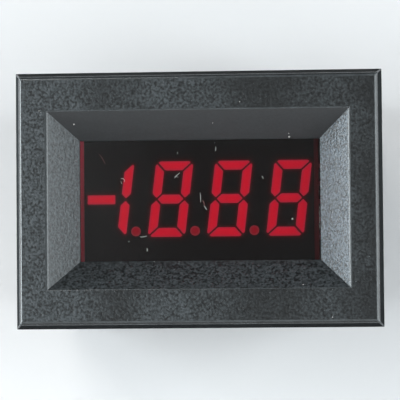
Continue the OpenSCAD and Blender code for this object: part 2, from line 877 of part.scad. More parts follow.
// The clip on the right side
module clip() {
    base_x = case_side + clip_clearance;
    top_x = case_side + clip_body_t;
    foot_x = case_side + foot_reach;
    ramp = foot_reach - clip_body_t;
    clip_end = clip_rest + clip_l;
    ridges = [for (i = [ridges_n - 1:-1:0])
                  for (p = [[-ridge_w / 2, 0], [0, ridge_h], [ridge_w / 2, 0]])
                      [top_x + p[1], clip_end - ridge_end - i * ridge_pitch + p[0]]];
    difference() {
        union() {
            translate([base_x, clip_rest, -clip_w / 2])
                cube([clip_edge_t, clip_l, clip_w]);
            // Thick middle with the foot in front and grip ridges behind
            translate([0, 0, -clip_body_w / 2])
                linear_extrude(height = clip_body_w)
                    polygon(concat([[base_x, clip_rest], [foot_x, clip_rest],
                                    [foot_x, clip_rest + foot_l], [top_x, clip_rest + foot_l + ramp]],
                                   ridges,
                                   [[top_x, clip_end], [base_x, clip_end]]));
        }
        // Groove over the ratchet teeth
        translate([case_side - eps, clip_rest - eps, -tooth_w / 2 - clip_clearance])
            cube([clip_relief + eps, clip_l + 2 * eps, tooth_w + 2 * clip_clearance]);
        // Slots that free the spring tongue
        for (s = [-1, 1])
            translate([case_side - eps, clip_rest + foot_l + tongue_root,
                       s * (tooth_w / 2 + tongue_slot) - tongue_slot / 2])
                cube([clip_body_t + 2 * ridge_h, clip_l - foot_l, tongue_slot]);
    }
}

module left_clip() {
    color([0.13, 0.13, 0.14]) mirror([1, 0, 0]) clip();
}

module right_clip() {
    color([0.13, 0.13, 0.14]) clip();
}

bezel_case();
window_filter();
display_shell();
display_face();
minus_sign();
one_digit();
hundreds_digit();
tens_digit();
units_digit();
decimal_points();
display_substrate();
led_chips();
display_pins();
main_board();
converter_chip();
inverter_chip();
chip_leads();
electrolytic_capacitors();
film_capacitors();
capacitor_leads();
smd_resistors();
smd_capacitors();
smd_terminals();
trimmer_body();
trimmer_rotor();
trimmer_pins();
header_shroud();
header_pins();
rear_cover();
left_clip();
right_clip();
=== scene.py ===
# %% [markdown]
# A small digital panel meter: a dark moulded bezel with a sunk, mitred frame, a red window, and a
# seven-segment display behind it. The frame that the other tools share holds every solid at its
# real size. This lesson gives each of them its finish, and adds the small things that a solid
# leaves out: rounded edges, glowing segments, solder, dust.

# %% The shared frame
import math
import bmesh
import bpy
import numpy as np
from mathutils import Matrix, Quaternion, Vector


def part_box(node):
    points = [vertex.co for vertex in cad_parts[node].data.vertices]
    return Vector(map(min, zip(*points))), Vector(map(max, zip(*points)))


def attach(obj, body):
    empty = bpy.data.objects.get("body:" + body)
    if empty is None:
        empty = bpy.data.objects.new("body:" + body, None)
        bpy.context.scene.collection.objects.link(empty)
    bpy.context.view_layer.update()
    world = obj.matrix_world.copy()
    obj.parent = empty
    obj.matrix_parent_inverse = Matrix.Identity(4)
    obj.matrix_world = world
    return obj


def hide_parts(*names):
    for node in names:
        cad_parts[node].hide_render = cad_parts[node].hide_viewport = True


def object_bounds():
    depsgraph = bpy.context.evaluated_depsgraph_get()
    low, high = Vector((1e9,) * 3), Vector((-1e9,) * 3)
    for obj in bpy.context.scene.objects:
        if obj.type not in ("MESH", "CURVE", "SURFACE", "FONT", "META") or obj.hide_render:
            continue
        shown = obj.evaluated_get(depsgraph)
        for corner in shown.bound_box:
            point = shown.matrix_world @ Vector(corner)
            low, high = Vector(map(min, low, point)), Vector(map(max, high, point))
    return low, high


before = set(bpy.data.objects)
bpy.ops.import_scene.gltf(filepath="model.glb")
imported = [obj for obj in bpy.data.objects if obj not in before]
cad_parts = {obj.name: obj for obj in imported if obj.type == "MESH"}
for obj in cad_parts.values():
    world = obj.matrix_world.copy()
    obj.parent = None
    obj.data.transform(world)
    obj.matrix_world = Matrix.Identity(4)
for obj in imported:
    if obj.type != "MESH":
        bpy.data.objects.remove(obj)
cad_low, cad_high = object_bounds()
MM = 0.001


def box_mm(node):
    """Lowest and highest corner of a node, in mm."""
    return [np.array(v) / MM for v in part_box(node)]


print("nodes:", len(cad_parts), "size in mm:", [round(v / MM, 2) for v in cad_high - cad_low])

# %% [markdown]
# The camera stands 300 mm in front, a little to the right of the middle and a little below it,
# with a long lens, so the bezel is almost a plain rectangle. A tiny roll leans the meter by half a
# degree.

# %% Camera
aim = Vector((0.165, 0.0, -0.07)) * MM
distance = 300 * MM
azimuth, elevation, roll = math.radians(3.65), math.radians(-2.24), math.radians(-0.51)
away = Vector((math.sin(azimuth) * math.cos(elevation),
               -math.cos(azimuth) * math.cos(elevation), math.sin(elevation)))
camera = bpy.data.objects.new("camera", bpy.data.cameras.new("camera"))
bpy.context.scene.collection.objects.link(camera)
camera.data.sensor_width = 36
camera.data.lens = 198.4
camera.data.clip_start = 0.01
camera.data.clip_end = 20
camera.location = aim + away * distance
camera.rotation_mode = "QUATERNION"
camera.rotation_quaternion = (-away).to_track_quat("-Z", "Y") @ Quaternion((0, 0, 1), roll)
bpy.context.scene.camera = camera
bpy.context.scene.view_settings.view_transform = "Standard"
print("camera at", [round(v, 4) for v in camera.location])

# %% [markdown]
# Most new pieces are lofts: a stack of closed outlines, each with the same number of points. With
# numpy the stack is one array of shape (rings, points, 3), and the faces are the quads between
# neighbours. A bmesh pass at the end closes the ends and turns every face outwards.

# %% Lofts and pieces
def finish_mesh(name, verts, faces, smooth):
    """Mesh object at the origin from corners and faces, with its normals turned outwards."""
    mesh = bpy.data.meshes.new(name)
    mesh.from_pydata(verts.tolist(), [], faces)
    shell = bmesh.new()
    shell.from_mesh(mesh)
    bmesh.ops.recalc_face_normals(shell, faces=shell.faces)
    shell.to_mesh(mesh)
    shell.free()
    mesh.polygons.foreach_set("use_smooth", np.full(len(mesh.polygons), smooth))
    piece = bpy.data.objects.new(name, mesh)
    bpy.context.scene.collection.objects.link(piece)
    return piece


def loft(name, stacks, smooth=True):
    """One piece from several stacks of rings. Face (i, j) joins points j and j + 1 of rings i and
    i + 1, the last point of a ring joins its first, and one face closes each end ring."""
    verts, faces, start = [], [], 0
    for rings in stacks:
        count, points = rings.shape[:2]
        here = start + np.arange((count - 1) * points).reshape(count - 1, points)
        nxt = np.roll(here, -1, axis=1)
        quads = np.stack([here, nxt, nxt + points, here + points], axis=-1).reshape(-1, 4)
        faces += quads.tolist()
        faces += [list(range(start, start + points)),
                  list(range(start + (count - 1) * points, start + count * points))[::-1]]
        verts.append(rings.reshape(-1, 3))
        start += count * points
    return finish_mesh(name, np.concatenate(verts) * MM, faces, smooth)


def circles(x, z, radii, depths, points):
    """Rings (x + r cos t, y, z + r sin t), one for each radius r and its depth y."""
    t = np.linspace(0, 2 * np.pi, points, endpoint=False)
    r = np.asarray(radii)[:, None]
    level = np.repeat(np.asarray(depths)[:, None], points, 1)
    return np.stack([x + r * np.cos(t), level, z + r * np.sin(t)], axis=-1)


def dress(piece, body, slot, finish, *nodes):
    """Gives a piece its body, its finish and the nodes that it stands for; slot is not used."""
    if piece.data.materials:
        piece.data.materials[0] = finish
    else:
        piece.data.materials.append(finish)
    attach(piece, body)
    if nodes:
        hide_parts(*nodes)
    print(piece.name, "rides on", body, "-", len(piece.data.polygons), "faces")
    return piece


# %% [markdown]
# Where a solid already has the right shape, only its knife-sharp edges give it away. A moulded
# edge has a radius of a tenth of a millimetre or so, and that is what catches the light. A copy of
# the solid's mesh is welded, its flat faces are joined again, and the Bevel modifier rounds the
# edges that a rule picks. Weighted normals keep the flat faces flat.

# %% Copies with rounded edges
FLAT = math.radians(0.4)
SHARP = math.radians(25)


def rounded_copy(node, width, pick, segments=3, sort=None):
    """Copy of a node whose sharp edges are rounded by width in mm. pick gets the two ends of each
    edge in mm and returns each edge's share of the width, from 0 to 1. Where sort is given, the
    rounded edges wear the second finish, and sort gives each face's finish from its middle."""
    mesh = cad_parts[node].data.copy()
    mesh.name = node + "_shape"
    shell = bmesh.new()
    shell.from_mesh(mesh)
    bmesh.ops.remove_doubles(shell, verts=shell.verts, dist=1e-6)
    bmesh.ops.dissolve_limit(shell, angle_limit=FLAT, verts=shell.verts, edges=shell.edges)
    bmesh.ops.dissolve_degenerate(shell, dist=1e-7, edges=shell.edges)
    bend = np.array([e.calc_face_angle(0.0) for e in shell.edges])
    shell.to_mesh(mesh)
    shell.free()
    corner = np.zeros(len(mesh.vertices) * 3, np.float32)
    mesh.vertices.foreach_get("co", corner)
    ends = np.zeros(len(mesh.edges) * 2, np.int32)
    mesh.edges.foreach_get("vertices", ends)
    a, b = corner.reshape(-1, 3)[ends.reshape(-1, 2)].transpose(1, 0, 2) / MM
    share = np.where(bend > SHARP, pick(a, b), 0.0)
    weight = mesh.attributes.new("bevel_weight_edge", "FLOAT", "EDGE")
    weight.data.foreach_set("value", share.astype(np.float32))
    mesh.polygons.foreach_set("use_smooth", np.full(len(mesh.polygons), True))
    mesh.attributes.new("sharp_edge", "BOOLEAN", "EDGE").data.foreach_set(
        "value", (bend > SHARP) & (share == 0))
    piece = bpy.data.objects.new(node + "_shape", mesh)
    bpy.context.scene.collection.objects.link(piece)
    bevel = piece.modifiers.new("rounded edges", "BEVEL")
    bevel.limit_method = "WEIGHT"
    bevel.width = width * MM
    bevel.segments = segments
    bevel.use_clamp_overlap = False
    if sort is not None:
        middle = np.zeros(len(mesh.polygons) * 3, np.float32)
        mesh.polygons.foreach_get("center", middle)
        kinds = sort(middle.reshape(-1, 3) / MM)
        mesh.polygons.foreach_set("material_index", kinds.astype(np.int32))
        bevel.material = 1
    normals = piece.modifiers.new("flat faces", "WEIGHTED_NORMAL")
    normals.keep_sharp = True
    print(node, "has", int((share > 0).sum()), "rounded edges of", len(share))
    return piece


# %% [markdown]
# Every finish here is procedural: noise in Object coordinates, so its grain has one size in
# millimetres all over the part. These helpers name the few nodes that the finishes share.

# %% Shader helpers
def new_finish(name):
    """Material with its node tree, its main shader and Object coordinates."""
    material = bpy.data.materials.new(name)
    material.use_nodes = True
    tree = material.node_tree
    coords = tree.nodes.new("ShaderNodeTexCoord").outputs["Object"]
    return material, tree, tree.nodes["Principled BSDF"], coords


def grain(tree, coords, size, detail=2.0, stretch=(1, 1, 1)):
    """Noise from 0 to 1 whose features are about size mm across, stretched along each axis."""
    place = tree.nodes.new("ShaderNodeMapping")
    place.inputs["Scale"].default_value = [1 / s for s in stretch]
    tree.links.new(coords, place.inputs["Vector"])
    node = tree.nodes.new("ShaderNodeTexNoise")
    node.inputs["Scale"].default_value = 1 / (size * MM)
    node.inputs["Detail"].default_value = detail
    tree.links.new(place.outputs["Vector"], node.inputs["Vector"])
    return node.outputs["Fac"]


def blend(tree, factor, stops):
    """Colour ramp: stops are (place, colour) pairs from 0 to 1."""
    node = tree.nodes.new("ShaderNodeValToRGB")
    ramp = node.color_ramp
    while len(ramp.elements) < len(stops):
        ramp.elements.new(0.5)
    for element, (place, colour) in zip(ramp.elements, stops):
        element.position = place
        element.color = (*colour, 1)
    tree.links.new(factor, node.inputs["Fac"])
    return node.outputs["Color"]


def spread(tree, factor, low, high):
    """Moves a value from 0..1 to low..high."""
    node = tree.nodes.new("ShaderNodeMapRange")
    node.inputs["To Min"].default_value = low
    node.inputs["To Max"].default_value = high
    tree.links.new(factor, node.inputs["Value"])
    return node.outputs["Result"]


def split(tree, vector):
    """The X, Y and Z of a vector."""
    node = tree.nodes.new("ShaderNodeSeparateXYZ")
    tree.links.new(vector, node.inputs["Vector"])
    return node.outputs


def carried(tree, name):
    """Value that the mesh holds under a name."""
    node = tree.nodes.new("ShaderNodeAttribute")
    node.attribute_name = name
    return node.outputs["Fac"]


def coat(tree, shader, colour, rough):
    """Gives a shader its colour and its roughness."""
    tree.links.new(colour, shader.inputs["Base Color"])
    tree.links.new(rough, shader.inputs["Roughness"])


def combine(tree, how, a, b):
    """Two values added, multiplied, and so on; either may be a plain number."""
    node = tree.nodes.new("ShaderNodeMath")
    node.operation = how
    for socket, value in zip(node.inputs, (a, b)):
        if isinstance(value, (int, float)):
            socket.default_value = value
        else:
            tree.links.new(value, socket)
    return node.outputs["Value"]


def tinted(tree, factor, colour, other):
    """Mixes a second colour, plain or from a node, over a colour by a factor from 0 to 1."""
    node = tree.nodes.new("ShaderNodeMix")
    node.data_type = "RGBA"
    tree.links.new(factor, node.inputs["Factor"])
    tree.links.new(colour, node.inputs["A"])
    if isinstance(other, tuple):
        node.inputs["B"].default_value = (*other, 1)
    else:
        tree.links.new(other, node.inputs["B"])
    return node.outputs["Result"]


def seen_rays(tree):
    """1 for rays to the eye and for those in reflections and glass, 0 for all others."""
    rays = tree.nodes.new("ShaderNodeLightPath").outputs
    direct = combine(tree, "MAXIMUM", rays["Is Camera Ray"], rays["Is Glossy Ray"])
    return combine(tree, "MAXIMUM", direct, rays["Is Transmission Ray"])


def surface_mix(tree, factor, first, second):
    """The material's surface: from the first shader to the second by a factor."""
    node = tree.nodes.new("ShaderNodeMixShader")
    tree.links.new(factor, node.inputs["Fac"])
    tree.links.new(first, node.inputs[1])
    tree.links.new(second, node.inputs[2])
    tree.links.new(node.outputs["Shader"], tree.nodes["Material Output"].inputs["Surface"])


def set_shine(material, level):
    """Sets how strongly a finish mirrors, 0.5 being plain plastic."""
    shader = material.node_tree.nodes["Principled BSDF"]
    shader.inputs["Specular IOR Level"].default_value = level


def relief(tree, shader, height, depth, under=None):
    """Bump of a depth in mm from a height between 0 and 1."""
    node = tree.nodes.new("ShaderNodeBump")
    node.inputs["Strength"].default_value = 1.0
    node.inputs["Distance"].default_value = depth * MM
    tree.links.new(height, node.inputs["Height"])
    if under is not None:
        tree.links.new(under, node.inputs["Normal"])
    tree.links.new(node.outputs["Normal"], shader.inputs["Normal"])
    return node.outputs["Normal"]


def plain_finish(name, dark, light, size, depth, rough, metal=0.0, stretch=(1, 1, 1)):
    """Colour that drifts from dark to light, with a grain of size mm and a bump of depth mm."""
    material, tree, shader, coords = new_finish(name)
    coarse = grain(tree, coords, size * 6, 3, stretch)
    fine = grain(tree, coords, size, 2, stretch)
    coat(tree, shader, blend(tree, coarse, [(0.3, dark), (0.7, light)]), spread(tree, fine, *rough))
    shader.inputs["Metallic"].default_value = metal
    relief(tree, shader, fine, depth)
    return material


# %% [markdown]
# The case is dark grey ABS from a spark-eroded mould. Its skin is a field of tiny dents: seen
# straight on it is matt and mottled, and at a slant it sparkles. Three sizes of noise do that,
# the finest as a bump of a few thousandths of a millimetre, the coarser ones in colour and gloss.
# Part of it is painted light: glints and soft sheen in the colour, and a fall of light from -X.

# %% Moulded case plastic
# Pitch and shift of the painted sheen stripes on the case; the painted fall of light runs over half its
# width.
HALF_WIDTH, SHEEN_PITCH, SHEEN_SHIFT = 25 * MM, 20.5 * MM, 1.4 * MM
BLACK, WHITE = (0, 0, 0), (1, 1, 1)


def case_finish(name, dark, light, pale=(0.26, 0.28, 0.29)):
    """Spark-eroded plastic: a bump of two grains, colour that follows them, and a few pale points
    that are painted glints of the grain. Soft paler stripes are painted sheen, on top of a painted
    fall of light that keeps the face lighter towards -X,
    sheen(x) = 0.42 - 0.42 x / 25 + 0.32 cos(2 pi (x + 1.4) / 20.5) with noise on top. The slopes of
    the sunk frame are smoother than the face, the one that faces down most of all, and that one wears
    a flat, lighter painted tone for its even light. The one that faces -X kept a deep grain, and
    glints are painted on it."""
    material, tree, shader, coords = new_finish(name)
    add, less, times = (lambda a, b, how=how: combine(tree, how, a, b)
                        for how in ("ADD", "SUBTRACT", "MULTIPLY"))
    fine, middle = grain(tree, coords, 0.34, 1), grain(tree, coords, 0.60, 2)
    x = split(tree, coords)["X"]
    facing = split(tree, tree.nodes["Texture Coordinate"].outputs["Normal"])
    upright = combine(tree, "ABSOLUTE", facing["Y"], 0.0)
    face = blend(tree, upright, [(0.75, BLACK), (0.95, WHITE)])
    slope = less(blend(tree, upright, [(0.4, BLACK), (0.6, WHITE)]), face)
    painted_glint_slope, under = (times(combine(tree, "MAXIMUM", times(facing[axis], -1.4), 0.0), slope)
                    for axis in "XZ")
    # Painted sheen in soft stripes along X, with noise, and a painted fall of light that darkens the
    # face towards +X. Where it is low, the colour turns to the faint, darker pair.
    phase = times(add(x, SHEEN_SHIFT), 2 * math.pi / SHEEN_PITCH)
    wave = combine(tree, "COSINE", phase, 0.0)
    cloud = times(less(grain(tree, coords, 5.0, 1), 0.5), 1.2)
    painted_sheen_and_falloff = add(add(times(wave, 0.32), cloud), times(x, -0.42 / HALF_WIDTH))
    painted_sheen_and_falloff = spread(tree, add(painted_sheen_and_falloff, 0.42), 0.0, 1.0)
    painted_sheen_and_falloff = add(times(painted_sheen_and_falloff, face), times(less(1.0, face), 0.75))
    tone = add(times(fine, 0.65), times(middle, 0.35))
    faint = [tuple(c * k for c in colour) for colour, k in ((dark, 0.6), (light, 0.24))]
    low, high = (blend(tree, tone, [(0.38, a), (0.62, b)]) for a, b in (faint, (dark, light)))
    colour = tinted(tree, painted_sheen_and_falloff, low, high)
    # The slope that faces down (under) mostly trades its grain colour for a flat, lighter painted tone,
    # for the even light it gets.
    colour = tinted(tree, times(under, 0.85), colour, (0.044, 0.044, 0.046))
    # Pale points in the colour pale are painted glints of the grain, fewer on the slope that faces
    # down.
    painted_glint_points = blend(tree, grain(tree, coords, 0.28, 2), [(0.70, BLACK), (0.78, WHITE)])
    colour = tinted(tree, times(painted_glint_points, less(0.4, times(under, 0.4))), colour, pale)
    # Painted glints: on the slope that faces -X, where the lamps rake it, a fine grain of dark and pale
    # colour stands in for its sparkle.
    painted_glints = blend(tree, grain(tree, coords, 0.28, 1),
                    [(0.39, (0.005, 0.006, 0.008)), (0.61, (0.070, 0.089, 0.108))])
    coat(tree, shader, tinted(tree, painted_glint_slope, colour, painted_glints), spread(tree, fine, 0.26, 0.46))
    relief(tree, shader, add(times(middle, 0.55), fine), 0.065)
    strength = add(spread(tree, face, 0.6, 1.0), times(painted_glint_slope, 0.5))
    tree.links.new(less(strength, times(under, 0.4)), tree.nodes["Bump"].inputs["Strength"])
    return material


case_plastic = case_finish("case_plastic", (0.006, 0.007, 0.0075), (0.064, 0.073, 0.079))

# %% [markdown]
# Bezel and case are one moulding. Its front edges get the largest radius, because the light runs
# along them as thin bright lines; the mitres of the sunk frame are inside corners and stay crisp.

# %% Bezel and case
def bezel_edges(a, b):
    """Share of the bevel for each edge, from where its two ends lie."""
    both = lambda test: test(a) & test(b)
    share = np.zeros(len(a))
    front = both(lambda p: p[:, 1] < -1.95)
    bend = both(lambda p: (p[:, 1] > -1.9) & (p[:, 1] < -1.5) & (abs(p[:, 0]) > 21))
    rear = both(lambda p: (abs(p[:, 1]) < 0.01) & ((abs(p[:, 0]) > 24.9) | (abs(p[:, 2]) > 17.4)))
    inside = both(lambda p: (abs(p[:, 0]) < 20.6) & (abs(p[:, 2]) < 12.2))
    corner = both(lambda p: (p[:, 1] < 0.01) & (abs(p[:, 0]) > 23) & (abs(p[:, 2]) > 15.5))
    window = both(lambda p: (abs(p[:, 1] - 2.2) < 0.01) & (abs(p[:, 0]) < 16.6)
                  & (abs(p[:, 2]) < 8.4))
    rim = both(lambda p: (p[:, 1] > 22.6) & (abs(p[:, 0]) < 21.9))
    deep = (np.minimum(a[:, 1], b[:, 1]) < -1.9) & (abs(a[:, 1] - b[:, 1]) > 2)
    mitre = both(lambda p: abs(p[:, 0]) < 20.6) & deep
    level = (abs(a[:, 2]) + abs(b[:, 2]) > 24) & (abs(a[:, 2] - b[:, 2]) < 1)
    share[front] = 0.6
    share[bend] = 0.37
    share[front & inside] = 1.0
    share[front & inside & level] = 0.25
    share[rear] = 0.12
    share[corner & (abs(a[:, 1] - b[:, 1]) > 0.1)] = 0.67
    share[window] = 0.33
    share[rim] = 0.4
    share[mitre] = 0.13
    return share


def bezel_faces(middle):
    """Each face's finish: 3 on the chamfer round the flange, 2 on its drafted sides, or 0."""
    x, y, z = middle.T
    outer = (abs(x) > 23.5) | (abs(z) > 16)
    chamfered, drafted = (y > -1.99) & (y < -1.66), (y > -1.66) & (y < -0.1)
    return np.select([outer & chamfered, outer & drafted], [3, 2], 0)


# The rounded edges wear a lighter colour than the case: some wear, and a painted highlight along the
# edges.
edge_wear_and_highlight = plain_finish("worn_edge_painted_highlight", (0.030, 0.034, 0.036), (0.060, 0.066, 0.070),
                          0.25, 0.010, (0.16, 0.30))
chamfer = plain_finish("polished_chamfer", (0.004, 0.005, 0.006), (0.012, 0.015, 0.017),
                       0.25, 0.008, (0.14, 0.26))
# The drafted sides of the flange are rough and matt, and their colour is darkened further as painted
# shade.
matt_side_painted_shade = plain_finish("matt_side_painted_shade", (0.006, 0.007, 0.008), (0.012, 0.014, 0.015),
                           0.25, 0.006, (0.8, 1.0))
set_shine(matt_side_painted_shade, 0.08)
set_shine(chamfer, 0.6)
bezel = rounded_copy("bezel_case", 0.24, bezel_edges, sort=bezel_faces)
bezel.name = "bezel_moulding"
dress(bezel, "meter", "case_plastic", case_plastic, "bezel_case")
for finish in (edge_wear_and_highlight, matt_side_painted_shade, chamfer):
    bezel.data.materials.append(finish)

# %% [markdown]
# The window is a sheet of clear red acrylic. Red light passes and green and blue hardly do, so the
# segments stay bright while the grey display body behind it turns a dull red. A tinted Transparent
# shader under a thin glossy coat is the simplest sheet of acrylic, and it lets the lamps through.

# %% Red window
def red_window():
    """Tinted sheet: the tint counts once at each face, and Fresnel adds the shine."""
    material, tree, shader, coords = new_finish("red_acrylic")
    tree.nodes.remove(shader)
    tint = tree.nodes.new("ShaderNodeBsdfTransparent")
    haze = grain(tree, coords, 1.4, 3)
    tree.links.new(blend(tree, haze, [(0.3, (0.80, 0.29, 0.38)), (0.7, (0.83, 0.31, 0.40))]),
                   tint.inputs["Color"])
    shine = tree.nodes.new("ShaderNodeBsdfGlossy")
    tree.links.new(spread(tree, haze, 0.04, 0.12), shine.inputs["Roughness"])
    scuffs = grain(tree, coords, 0.3, 4, (1, 1, 9))
    relief(tree, shine, scuffs, 0.0012)
    fresnel = tree.nodes.new("ShaderNodeFresnel")
    fresnel.inputs["IOR"].default_value = 1.49
    side = tree.nodes.new("ShaderNodeNewGeometry")
    outside = combine(tree, "SUBTRACT", 1.0, side.outputs["Backfacing"])
    surface_mix(tree, combine(tree, "MULTIPLY", fresnel.outputs["Fac"], outside),
                tint.outputs["BSDF"], shine.outputs["BSDF"])
    return material


window_low, window_high = box_mm("window_filter")


def rectangle(half_w, half_h, y):
    """Four corners of an upright rectangle at depth y."""
    x, z = np.array([-1, 1, 1, -1]) * half_w, np.array([-1, -1, 1, 1]) * half_h
    return np.stack([x, np.full(4, y), z], axis=1)


def sheet(low, high, edge):
    """Sheet with chamfered edges: four rectangles, the outer two smaller by the chamfer."""
    rings = ((edge, low[1]), (0, low[1] + edge), (0, high[1] - edge), (edge, high[1]))
    return np.stack([rectangle(high[0] - inset, high[2] - inset, y) for inset, y in rings])


window = dress(loft("window_sheet", [sheet(window_low, window_high, 0.12)], smooth=False),
               "meter", "red_filter", red_window(), "window_filter")
print("window in mm:", np.round(window_high - window_low, 2))

# %% [markdown]
# A seven-segment digit is a set of wells in a grey body, filled with milky resin that glows over
# a tiny chip. The bars are drawn again from the display's own sizes: half a digit's width and
# height, the segment's width, the dark gap, and the lean. The resin laps over the lip of its well,
# so its gap is narrower than the solid's. Pulling each outline inwards a little at a time, and
# letting the middle sink, gives the resin its meniscus.

# %% Outlines of the segments
digit_w, digit_h, lean = 5.18, 10.44, math.tan(math.radians(7))
bar, tip = 1.25, 0.2
minus_w, minus_space = 3.85, 0.83
digit_pitch, display_shift, lift_z = 8.19, -0.1, 0.28
gap = 0.24 / math.sqrt(2)
half_w, half_h = digit_w / 2, digit_h / 2
top_bar = np.array([[-half_w + gap + 2 * tip, half_h], [half_w - gap - 2 * tip, half_h],
                    [half_w - gap - tip, half_h - tip], [half_w - bar - gap, half_h - bar],
                    [-half_w + bar + gap, half_h - bar], [-half_w + gap + tip, half_h - tip]])
right_bar = np.array([[half_w, half_h - gap - 2 * tip], [half_w - tip, half_h - gap - tip],
                      [half_w - bar, half_h - bar - gap], [half_w - bar, bar / 2 + gap],
                      [half_w - bar / 2, gap], [half_w, bar / 2 + gap]])
middle_bar = np.array([[-half_w + bar / 2 + gap, 0], [-half_w + bar + gap, bar / 2],
                       [half_w - bar - gap, bar / 2], [half_w - bar / 2 - gap, 0],
                       [half_w - bar - gap, -bar / 2], [-half_w + bar + gap, -bar / 2]])
across, upside = np.array([-1, 1]), np.array([1, -1])
one = [right_bar, right_bar * upside]
eight = [top_bar, right_bar, right_bar * upside, top_bar * upside,
         right_bar * across * upside, right_bar * across, middle_bar]
minus_middle = half_w - bar - minus_space - minus_w / 2
minus_across = minus_middle + np.array([-1, 1, 1, -1]) * minus_w / 2
minus_up = np.array([1, 1, -1, -1]) * bar / 2
minus = [np.stack([minus_across - minus_up * lean, minus_up], axis=1)]
place = display_shift + (np.arange(4) - 1.5) * digit_pitch


def leaned(outline, i):
    """Leans an outline, x + z tan(lean), and moves it to place i of the display."""
    x, z = outline.T
    return np.stack([x + z * lean + place[i], z + lift_z], axis=1)


def pulled_in(outline, by):
    """Moves each side of a convex outline inwards: a corner p with unit inward normals m and n of its
    two sides goes to p + by (m + n) / (1 + m.n)."""
    side = np.roll(outline, -1, axis=0) - outline
    length = np.linalg.norm(side, axis=1)[:, None]
    inward = np.stack([-side[:, 1], side[:, 0]], axis=1) / length
    if np.sum((outline.mean(0) - outline) * inward) < 0:
        inward = -inward
    before = np.roll(inward, 1, axis=0)
    cosine = np.sum(before * inward, axis=1)[:, None]
    return outline + by * (before + inward) / (1 + cosine)


def eased(outline, reach, n=4):
    """Rounds each corner c by the arc (1 - t)^2 p + 2 t (1 - t) c + t^2 q, where p and q lie on its two
    sides, reach mm away or at 0.4 of a short side."""
    def towards(neighbour):
        side = neighbour - outline
        length = np.linalg.norm(side, axis=1)[:, None]
        return outline + side / length * np.minimum(reach, 0.4 * length)
    p, q = (towards(np.roll(outline, shift, axis=0)) for shift in (1, -1))
    t = np.linspace(0, 1, n)[None, :, None]
    arcs = (1 - t) ** 2 * p[:, None] + 2 * t * (1 - t) * outline[:, None] + t ** 2 * q[:, None]
    return arcs.reshape(-1, 2)


groups = {"minus_sign": (0, minus), "one_digit": (0, one), "hundreds_digit": (1, eight),
          "tens_digit": (2, eight), "units_digit": (3, eight)}
lit = [leaned(outline, i) for i, shapes in groups.values() for outline in shapes]
point_middle = np.stack([place[:3] + 3.35, np.full(3, lift_z - half_h + 0.8)], axis=1)
print("bars:", len(lit), "points at", np.round(point_middle, 2).tolist())

# %% [markdown]
# The resin glows evenly in the middle and turns paler and more purple at its rim, where it climbs
# the grey wall of its well. A rim attribute, 0 in the middle and 1 at the edge, carries that.

# %% Glowing resin
def resin_finish(name, core, rim, glow):
    """Milky resin: colour and glow go from core to rim with the rim attribute."""
    material, tree, shader, coords = new_finish(name)
    cloud = grain(tree, coords, 0.5, 3)
    unrest = combine(tree, "MULTIPLY", combine(tree, "SUBTRACT", cloud, 0.5), 0.25)
    share = combine(tree, "ADD", carried(tree, "rim"), unrest)
    colour = blend(tree, share, [(0.12, core), (0.9, rim)])
    coat(tree, shader, colour, spread(tree, cloud, 0.25, 0.4))
    tree.links.new(colour, shader.inputs["Emission Color"])
    shader.inputs["Emission Strength"].default_value = glow
    relief(tree, shader, cloud, 0.004)
    return material


face_low, face_high = box_mm("display_face")
seg_low, seg_high = box_mm("hundreds_digit")
steps = np.array([0.0, 0.04, 0.09, 0.15, 0.22, 0.32])
sink = 0.018 * (1 - np.exp(-steps / 0.12))


def resin_bar(outline):
    """Stack of rings up a well: straight sides, then the outline pulled in by each step and sunk.
    Each ring's corners are eased by 0.14 mm."""
    def flat(inset, y):
        ring = eased(pulled_in(outline, inset), 0.14)
        return np.stack([ring[:, 0], np.full(len(ring), y), ring[:, 1]], axis=1)
    front = [flat(inset, seg_low[1] + depth) for inset, depth in zip(steps, sink)]
    return np.stack([flat(0.0, seg_high[1])] + front)


def mark_rim(piece, stacks):
    """Rim attribute: 1 on the wall and the first ring, falling off as exp(-(step / 0.22 mm)^2)."""
    falloff = np.concatenate([[1.0], np.exp(-(steps / 0.22) ** 2)])
    rims = [np.repeat(falloff, rings.shape[1]) for rings in stacks]
    layer = piece.data.attributes.new("rim", "FLOAT", "POINT")
    layer.data.foreach_set("value", np.concatenate(rims).astype(np.float32))


lit_resin = resin_finish("lit_resin", (0.67, 0.006, 0.155), (0.50, 0.12, 0.30), 0.42)
for node, (i, shapes) in groups.items():
    stacks = [resin_bar(leaned(outline, i)) for outline in shapes]
    piece = loft(node + "_resin", stacks, smooth=False)
    mark_rim(piece, stacks)
    dress(piece, "meter", "lit_segment", lit_resin, node)

# %% [markdown]
# The three decimal points are dimmer than the bars. Each is a small round well with the same
# meniscus, so its rings are circles: (r cos t, r sin t) with r stepping inwards.

# %% Decimal points
def resin_point(middle, radius):
    """Stack of circles round a middle: the well's side, then the sunk front."""
    radii = np.concatenate([[radius], radius - steps])
    depths = np.concatenate([[seg_high[1]], seg_low[1] + sink])
    return circles(*middle, radii, depths, 40)


dim_resin = resin_finish("dim_resin", (0.37, 0.02, 0.12), (0.33, 0.31, 0.33), 0.15)
stacks = [resin_point(m, 0.68) for m in point_middle]
points = loft("point_resin", stacks, smooth=False)
mark_rim(points, stacks)
dress(points, "meter", "dim_point", dim_resin, "decimal_points")

# %% [markdown]
# The front of the display is painted black between the bars. Beside a bar the paint gets a painted
# red glow, in its colour and its emission. The paint is a fine grid, and each of its corners holds
# exp(-distance / 0.16 mm) to the nearest bar, worked out for all corners and all sides at once.

# %% Black face with a painted glow beside the bars
def distance_to(points, outlines):
    """Shortest distance from each point to any side of any outline: the foot on a side a + t (b - a),
    with t held between 0 and 1."""
    a = np.concatenate(outlines)
    b = np.concatenate([np.roll(o, -1, axis=0) for o in outlines])
    d = b - a
    t = np.clip(np.sum((points[:, None] - a) * d, axis=2) / np.sum(d * d, axis=1), 0, 1)
    return np.linalg.norm(points[:, None] - (a + t[..., None] * d), axis=2).min(axis=1)


paint_back, paint_lap = 0.03, 0.3


